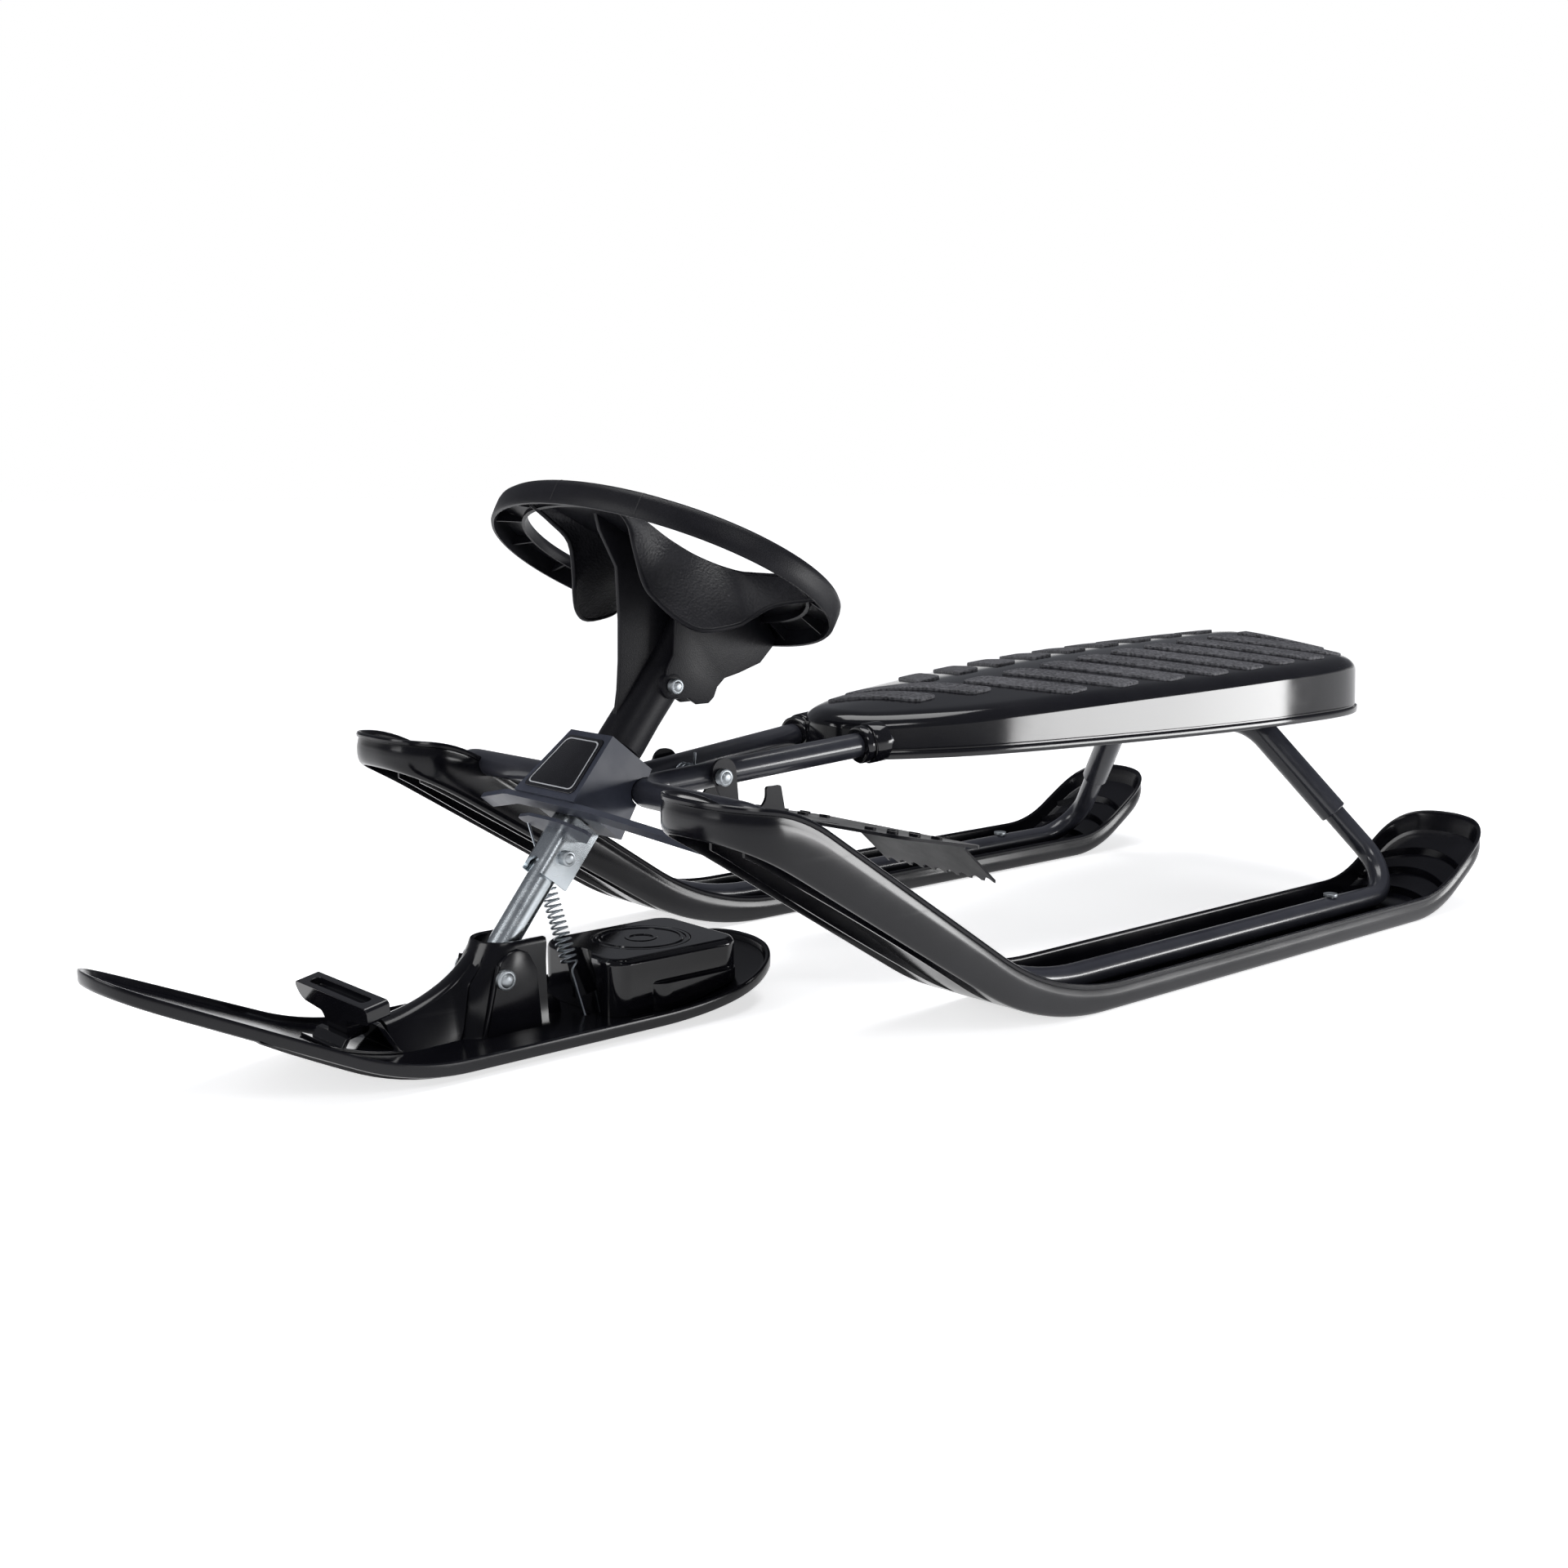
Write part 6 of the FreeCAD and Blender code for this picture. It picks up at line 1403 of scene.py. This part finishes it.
    def shift(self, piece: bpy.types.Object, side: float) -> None:
        """Moves a piece's mesh from the middle line to its own side."""
        for vertex in piece.data.vertices:
            vertex.co.y += side * self.centre_y * MM

    def sole_rib(self, y: float) -> bpy.types.Object:
        """Builds one lengthwise rib in the hollow under the risen front.

        Args:
            y: Its place across the ski, about which it sways.

        Returns:
            The new piece.
        """
        wide, narrow = self.rib_halves
        rows = []
        for k in range(self.rib_steps + 1):
            share = k / self.rib_steps
            x = self.rib_start + (self.tip_x - self.rib_end - self.rib_start) * share
            middle = y + self.rib_sway * math.sin(math.pi * share) * math.copysign(1.0, y)
            low, high = self.sole(x) + self.rib_low, self.sole(x) + self.recess(x) + self.rib_sink
            corners = ((-wide, high), (-narrow, low), (narrow, low), (wide, high))
            rows.append([Vector((x, middle + across, z)) * MM for across, z in corners])
        return Bench.net("sole_rib", rows, round_rows=True, caps=True)

    def tail_rib(self, start: float) -> bpy.types.Object:
        """Builds one curved rib across the tail's floor.

        Args:
            start: Where its middle stands, in millimetres forward.

        Returns:
            The new piece.
        """
        wide, narrow = self.tail_rib_halves
        reach = self.half_width - self.tail_rib_gap
        rows = []
        for k in range(self.tail_rib_steps + 1):
            share = 2 * k / self.tail_rib_steps - 1.0
            x = max(start + self.tail_rib_bow * share ** 2, self.tail_x + self.tail_rib_gap)
            low = self.sole(x) + self.floor - self.tail_rib_sink
            high = low + self.tail_rib_height
            corners = ((-wide, low), (-narrow, high), (narrow, high), (wide, low))
            rows.append([Vector((x + across, reach * share, z)) * MM for across, z in corners])
        return Bench.net("tail_rib", rows, round_rows=True, caps=True)

    def ribs(self, side: float, name: str) -> None:
        """Builds the lengthwise ribs under the front and the curved ribs in the tail.

        Args:
            side: 1 on the rider's left, -1 on the right.
            name: The side's name.
        """
        bars = [self.sole_rib(y) for y in self.rib_rows] + [self.tail_rib(x) for x in self.tail_ribs]
        piece = Bench.joined(name + "_runner_ribs", bars)
        self.shift(piece, side)
        self.fitter.fit(piece, Body.FRAME, Slot.SKI, "ski_black_plastic")


@dataclass
class FrontSki:
    """The steered ski: a rimmed plate, keels, the column's socket, its front spine and the spring's tab."""

    fitter: Fitter
    half_plan: Plan = (
        (594.8, 0), (593, 14), (586, 29), (574, 39.5), (556, 46), (520, 54), (480, 62), (445, 68.5),
        (410, 71), (370, 71), (330, 71), (290, 71), (250, 71), (210, 71), (175, 71), (150, 69), (128, 62.5),
        (110, 51), (98, 34), (93, 16), (92, 0))
    outline_steps: int = 6
    middle: tuple[float, float] = (150.0, 555.0)
    sole: float = 5.0
    bend_from: float = 376.7
    bend_to: float = 455.6
    bend_radius: float = 190.0
    slope: float = 24.5
    tail_from: float = 225.0
    tail_x: float = 92.0
    tail_rise: float = 24.0
    plate: float = 4.0
    rim: float = 9.5
    under: Points = (
        (6.0, 0.0, 0.0), (6.0, 0.5, 0.0), (6.0, 1.0, 0.0), (2.2, 1.0, 0.0), (0.7, 1.0, 0.8), (0.0, 1.0, 2.4))
    rim_drops: Plan = ((0.0, 1.4), (0.4, 0.4), (1.3, 0.0), (2.6, 0.0), (3.5, 0.4), (3.9, 1.4))
    floor_lifts: Points = (
        (4.4, 1.0, 1.4), (5.4, 1.0, 0.3), (8.0, 1.0, 0.0), (8.0, 0.66, 0.0), (8.0, 0.33, 0.0),
        (8.0, 0.0, 0.0))
    keel_rows: tuple[float, ...] = (-52.0, -26.0, 0.0, 26.0, 52.0)
    keel_start: float = 140.0
    keel_end: float = 560.0
    keel_taper: float = 0.9
    keel_steps: int = 40
    keel_halves: tuple[float, float] = (4.0, 2.4)
    keel_sink: float = 0.6
    keel_tip: float = 0.004
    ground_gap: float = 0.02
    socket_sections: tuple[tuple[float, float, float, float], ...] = (
        (7.0, 286.0, 357.0, 24.5), (11.0, 286.5, 354.0, 22.6), (30.0, 287.0, 350.5, 21.8),
        (45.0, 287.0, 348.0, 21.4), (54.0, 287.0, 339.5, 21.2), (66.0, 286.0, 332.4, 20.8),
        (69.6, 286.4, 331.0, 20.4), (70.4, 287.2, 330.4, 19.8))
    socket_wall: float = 3.6
    socket_lip: float = 1.2
    nose_steps: int = 20
    spine_line: Points = (
        (331, 67, 12), (338, 59.5, 13), (347, 51.5, 14.2), (358, 44.5, 15.5), (372, 38.2, 16.5),
        (388, 33.5, 17.5), (404, 30.5, 18.5))
    spine_steps: int = 4
    arch_steps: int = 8
    arch_rise: float = 4.0
    arch_share: float = 0.55
    spine_sink: float = 1.0
    cheek: Plan = ((292, 7), (337, 7), (329, 40), (325, 58), (318, 64), (310, 65.5), (302, 62), (296, 50))
    cheek_inner: float = 20.0
    cheek_thick: float = 3.6
    cheek_edge: float = 0.9
    ridge: Plan = ((339, 9), (334, 28), (330, 45), (327, 57))
    ridge_out: float = 23.4
    ridge_radius: float = 1.3
    ridge_steps: int = 4
    ridge_sides: int = 10
    tab: Plan = ((262, 8), (293, 8), (293, 30), (282, 30), (270, 23), (263, 16))
    tab_half: float = 2.2
    tab_edge: float = 0.6
    spring_foot: tuple[float, float] = (254.0, 20.0)
    spring_hole: float = 3.4
    spring_sink: float = 6.0
    hole_sides: int = 20

    def fit(self, piece: bpy.types.Object, *nodes: str, smooth: float = 40.0) -> None:
        """Hands one piece of the front ski over."""
        self.fitter.fit(piece, Body.FRONT_SKI, Slot.SKI, "ski_black_plastic", *nodes, smooth=smooth)

    def foot(self, x: float) -> float:
        """Gives the height of the plate's underside.

        Args:
            x: Millimetres forward.

        Returns:
            The height in millimetres.
        """
        if x < self.tail_from:
            share = (self.tail_from - x) / (self.tail_from - self.tail_x)
            return self.sole + self.tail_rise * share ** 2
        if x < self.bend_from:
            return self.sole
        reach = min(x, self.bend_to) - self.bend_from
        rise = self.bend_radius - math.sqrt(self.bend_radius ** 2 - reach ** 2)
        return self.sole + rise + max(0.0, x - self.bend_to) * math.tan(math.radians(self.slope))

    def build(self) -> None:
        """Builds the ski's pieces."""
        self.deck()
        self.keels()
        self.socket()
        self.spine()
        self.gussets()

    def deck(self) -> None:
        """Lofts the rimmed plate and drills the hole for the spring's foot."""
        rows = list(self.under)
        rows += [(inset, 1.0, self.rim - drop) for inset, drop in self.rim_drops]
        rows += [(inset, share, self.plate + lift) for inset, share, lift in self.floor_lifts]
        rings = [(inset, share, lambda x, y, lift=lift: self.foot(x) + lift) for inset, share, lift in rows]
        outline = Bench.mirrored(self.half_plan, self.outline_steps)
        deck = Bench.shell("front_ski_deck", outline, rings, self.middle)
        place = Vector((*self.spring_foot, self.sole + self.plate - self.spring_sink)) * MM
        wide, tall = self.spring_hole, self.rim
        profile = ((0.0, 0.0), (wide, 0.0), (wide, tall), (0.0, tall))
        drill = Bench.turned("drill", place, UP, profile, self.hole_sides)
        Bench.combine(deck, "DIFFERENCE", drill)
        Bench.discard(drill)
        self.fit(deck, "front_ski", smooth=35.0)

    def keels(self) -> None:
        """Builds the tapering keels under the plate."""
        bars = []
        wide, narrow = self.keel_halves
        for y in self.keel_rows:
            length = self.keel_end - abs(y) * self.keel_taper - self.keel_start
            rows = []
            for k in range(self.keel_steps + 1):
                share = k / self.keel_steps
                x = self.keel_start + length * share
                swell = math.sin(math.pi * min(max(share, self.keel_tip), 1.0 - self.keel_tip))
                low = max(self.foot(x) - self.sole * math.sqrt(swell), self.ground_gap)
                high = self.foot(x) + self.keel_sink
                corners = ((-wide, high), (-narrow, low), (narrow, low), (wide, high))
                rows.append([Vector((x, y + across, z)) * MM for across, z in corners])
            bars.append(Bench.net("keel", rows, round_rows=True, caps=True))
        self.fit(Bench.joined("front_ski_keels", bars))

    def socket(self) -> None:
        """Lofts the socket that the column stands in, open behind so that the ski can pitch."""
        rows = []
        for z, rear, front, half in self.socket_sections:
            wall = self.socket_wall
            if z == self.socket_sections[-1][0]:
                wall -= self.socket_lip
            rows.append(self.section(z, rear, front, half, wall))
        self.fit(Bench.net("column_socket", rows, round_rows=True, caps=True), smooth=35.0)

    def section(self, z: float, rear: float, front: float, half: float, wall: float) -> list[Vector]:
        """Gives one level section of the socket's wall, round in front and open behind.

        Args:
            z: Its height.
            rear: Its rear end.
            front: Its front end.
            half: Half its width.
            wall: The wall's thickness.

        Returns:
            The section's points in metres.
        """
        middle, inner = front - half, half - wall
        turns = [math.pi * (k / self.nose_steps - 0.5) for k in range(self.nose_steps + 1)]
        nose = [(middle + half * math.cos(turn), half * math.sin(turn)) for turn in turns]
        hollow = [(middle + inner * math.cos(turn), inner * math.sin(turn)) for turn in reversed(turns)]
        points = [*nose, (rear, half), (rear, inner), *hollow, (rear, -inner), (rear, -half)]
        return [Vector((x, y, z)) * MM for x, y in points]

    def wall_height(self, x: float) -> float:
        """Gives the height at which the socket's front wall ends at a place, seen from the side.

        Args:
            x: Millimetres forward, on the wall's inner face.

        Returns:
            The height in millimetres, or zero in front of the wall.
        """
        front = x + self.socket_wall
        for (low, _, reach, _), (high, _, near, _) in zip(self.socket_sections, self.socket_sections[1:]):
            if near <= front <= reach:
                return low + (high - low) * (reach - front) / (reach - near)
        return 0.0

    def spine(self) -> None:
        """Lofts the arched spine that runs from the socket's front wall to the handle."""
        line = Bench.smooth_line([Vector(point) for point in self.spine_line], self.spine_steps)
        arch = [math.pi * k / self.arch_steps for k in range(self.arch_steps + 1)]
        rows = []
        for x, z, half in line:
            low = max(self.foot(x) + self.plate - self.spine_sink, self.wall_height(x))
            wide, rise = half * self.arch_share, self.arch_rise
            top = [(wide * math.cos(turn), z - rise + rise * math.sin(turn)) for turn in arch]
            rows.append([Vector((x, y, height)) * MM for y, height in (*top, (-half, low), (half, low))])
        self.fit(Bench.net("front_ski_spine", rows, round_rows=True, caps=True), smooth=50.0)

    def gussets(self) -> None:
        """Builds the side plates with their slanted ridges and the spring's tab."""
        pieces = []
        for side, _ in SIDES:
            outline = [Vector((x, side * self.cheek_inner, z)) * MM for x, z in self.cheek]
            through = Vector((0.0, side * self.cheek_thick * MM, 0.0))
            pieces.append(Bench.plate("cheek", outline, through, self.cheek_edge * MM))
            ridge = [Vector((x, side * self.ridge_out, z)) * MM for x, z in self.ridge]
            line = Bench.smooth_line(ridge, self.ridge_steps)
            pieces.append(Bench.tube("ridge", line, self.ridge_radius * MM, self.ridge_sides))
        tab = [Vector((x, -self.tab_half, z)) * MM for x, z in self.tab]
        through = Vector((0.0, 2 * self.tab_half * MM, 0.0))
        pieces.append(Bench.plate("spring_tab", tab, through, self.tab_edge * MM))
        self.fit(Bench.joined("socket_cheeks", pieces))


@dataclass
class WinderLid:
    """The winder's round lid with its raised rings."""

    fitter: Fitter
    centre: tuple[float, float] = (190.0, 0.0)
    top: float = 50.0
    profile: Plan = (
        (0.01, -2.4), (35.8, -2.4), (35.8, -0.4), (35.4, 0.0), (33.0, 0.1), (32.4, -0.6), (31.4, -0.6),
        (30.8, 0.7), (28.6, 0.7), (28.0, 0.0), (12.0, 0.0), (11.4, 0.5), (9.0, 0.5), (8.4, -0.3),
        (0.01, -0.3))
    sides: int = 72

    def build(self) -> None:
        """Turns the lid, with a rim, a groove and two raised rings."""
        foot = Vector((*self.centre, self.top)) * MM
        lid = Bench.turned("winder_lid_rings", foot, UP, self.profile, self.sides)
        self.fitter.fit(lid, Body.FRONT_SKI, Slot.SKI, "gloss_black_plastic", "winder_lid", smooth=30.0)


@dataclass
class CarriedNodes:
    """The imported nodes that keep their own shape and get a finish."""

    finishes: Finishes
    by_finish: dict[str, tuple[str, ...]] = field(default_factory=lambda: {
        "frame_paint": ("left_frame_tube", "right_frame_tube", "rear_arch"),
        "hood_paint": ("head_hood", "front_strap", "wing_plate"),
        "brake_paint": ("brake",),
        "bright_zinc": ("steering_column", "reel_axle"),
        "spring_steel": ("tension_spring", "recoil_spring", "brake_spring"),
        "inner_plastic": ("seat_blocks", "upper_bush", "lower_bush", "winder_reel"),
    })

    def dress(self) -> None:
        """Puts each node's finish into its material slots."""
        for finish, names in self.by_finish.items():
            for name in names:
                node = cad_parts[name]
                if not node.data.materials:
                    node.data.materials.append(None)
                for index in range(len(node.data.materials)):
                    node.data.materials[index] = self.finishes.materials[finish]
                LOG.info("dressed %s", name)


@dataclass
class Studio:
    """Floor, lights, world and camera."""

    camera_place: tuple[float, float, float] = (0.9883, 1.0669, 0.3787)
    view_direction: tuple[float, float, float] = (-0.6531, -0.7401, -0.1604)
    focal_pixels: float = 2297.85
    centre_shift: float = 5.8
    sensor: float = 36.0
    floor_size: float = 60.0
    floor_colour: tuple[float, float, float, float] = (0.86, 0.86, 0.87, 1.0)
    floor_near: float = 1.2
    floor_far: float = 5.0
    near_glow: float = 0.68
    horizon_from: float = -0.02
    horizon_to: float = 0.12
    horizon_colour: Colour = (1.0, 1.0, 1.0)
    overhead_colour: Colour = (0.16, 0.165, 0.18)
    light_given: float = 1.3
    lamps: tuple[tuple[str, tuple, tuple, float, float, float], ...] = (
        ("side_box", (-1.2, 1.45, 0.19), (-0.25, 0.1, 0.19), 1.15, 0.36, 22.0),
        ("top_box", (-0.1, -0.1, 1.9), (0.0, 0.0, 0.2), 1.6, 0.9, 24.0),
        ("front_box", (1.9, -0.35, 0.9), (0.3, 0.0, 0.2), 0.9, 0.9, 14.0),
        ("near_box", (0.6, 1.7, 1.5), (0.1, 0.0, 0.2), 0.8, 0.5, 8.0),
    )

    def build(self) -> None:
        """Makes the floor, the world, the lamps and the camera."""
        self.floor()
        self.world()
        for name, place, target, width, height, power in self.lamps:
            self.lamp(name, Vector(place), Vector(target), (width, height), power)
        self.camera()
        bpy.context.scene.view_settings.view_transform = "Standard"

    def floor(self) -> None:
        """Makes the pale floor, which keeps the sled's shadow."""
        bpy.ops.object.select_all(action="DESELECT")
        bpy.ops.mesh.primitive_plane_add(size=self.floor_size)
        floor = bpy.context.object
        floor.name = "floor"
        material = bpy.data.materials.new("pale_floor")
        material.use_nodes = True
        tree = Tree(material.node_tree)
        matte = tree.add("BsdfDiffuse", Color=self.floor_colour)
        path = tree.add("LightPath")
        seen = tree.maths("MAXIMUM", path.outputs["Is Camera Ray"], path.outputs["Is Glossy Ray"])
        seen = tree.maths("MAXIMUM", seen, path.outputs["Is Transmission Ray"])
        place = tree.add("TexCoord").outputs["Object"]
        away = tree.add("VectorMath", operation="LENGTH", Vector=place)
        level = tree.add("MapRange", Value=away.outputs["Value"], From_Min=self.floor_near,
                         From_Max=self.floor_far, To_Min=self.near_glow)
        glow = tree.add("Emission", Strength=tree.maths("MULTIPLY", seen, level.outputs[0]))
        both = tree.add("AddShader")
        for socket, shader in zip(both.inputs, (matte, glow)):
            tree.join(socket, shader.outputs[0])
        tree.add("OutputMaterial", Surface=both.outputs[0])
        floor.data.materials.append(material)

    def world(self) -> None:
        """Makes the white surroundings, darker overhead in all but the camera's own view."""
        world = bpy.data.worlds.new("studio_surroundings")
        bpy.context.scene.world = world
        world.use_nodes = True
        tree = Tree(world.node_tree)
        place = tree.add("TexCoord").outputs["Generated"]
        height = tree.add("SeparateXYZ", Vector=place).outputs["Z"]
        above = tree.add("MapRange", interpolation_type="SMOOTHSTEP", Value=height,
                         From_Min=self.horizon_from, From_Max=self.horizon_to)
        path = tree.add("LightPath")
        seen = tree.maths("MAXIMUM", path.outputs["Is Camera Ray"], path.outputs["Is Transmission Ray"])
        dim = tree.maths("MULTIPLY", above.outputs[0], tree.maths("SUBTRACT", 1.0, seen))
        colour = tree.blend(dim, self.horizon_colour, self.overhead_colour)
        white = tree.maths("MAXIMUM", seen, path.outputs["Is Glossy Ray"])
        back = tree.add("Background", Color=colour, Strength=tree.span(white, self.light_given, 1.0))
        tree.add("OutputWorld", Surface=back.outputs[0])

    def lamp(self, name: str, place: Vector, target: Vector, size: tuple[float, float], power: float) -> None:
        """Makes one soft box.

        Args:
            name: The lamp's name.
            place: Where it stands.
            target: What it faces.
            size: Its width and height.
            power: Its power in watts.
        """
        data = bpy.data.lights.new(name, "AREA")
        data.shape = "RECTANGLE"
        data.size, data.size_y = size
        data.energy = power
        lamp = bpy.data.objects.new(name, data)
        lamp.location = place
        lamp.rotation_euler = (target - place).to_track_quat("-Z", "Y").to_euler()
        bpy.context.collection.objects.link(lamp)

    def camera(self) -> None:
        """Makes the camera at the photograph's angle."""
        data = bpy.data.cameras.new("camera")
        data.sensor_width = self.sensor
        data.lens = self.sensor * self.focal_pixels / PHOTO_WIDTH
        data.shift_x = -self.centre_shift / PHOTO_WIDTH
        camera = bpy.data.objects.new("camera", data)
        camera.location = self.camera_place
        camera.rotation_euler = Vector(self.view_direction).to_track_quat("-Z", "Y").to_euler()
        bpy.context.collection.objects.link(camera)
        bpy.context.scene.camera = camera


def main() -> None:
    """Builds the studio and dresses the sled."""
    logging.basicConfig(level=logging.INFO, format="%(name)s: %(message)s")
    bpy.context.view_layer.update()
    bpy.ops.object.select_all(action="DESELECT")
    groups = EffectGroups()
    finishes = Finishes(groups)
    fitter = Fitter(finishes)
    CarriedNodes(finishes).dress()
    EasedCopies(fitter).build()
    BoltHeads(fitter).build()
    SteeringWheel(fitter).build()
    SeatPads(fitter, SeatShell(fitter).build()).build()
    RearSki(fitter).build()
    FrontSki(fitter).build()
    LabelPlate(fitter).build()
    WinderLid(fitter).build()
    Studio().build()


if __name__ == "__main__":
    main()
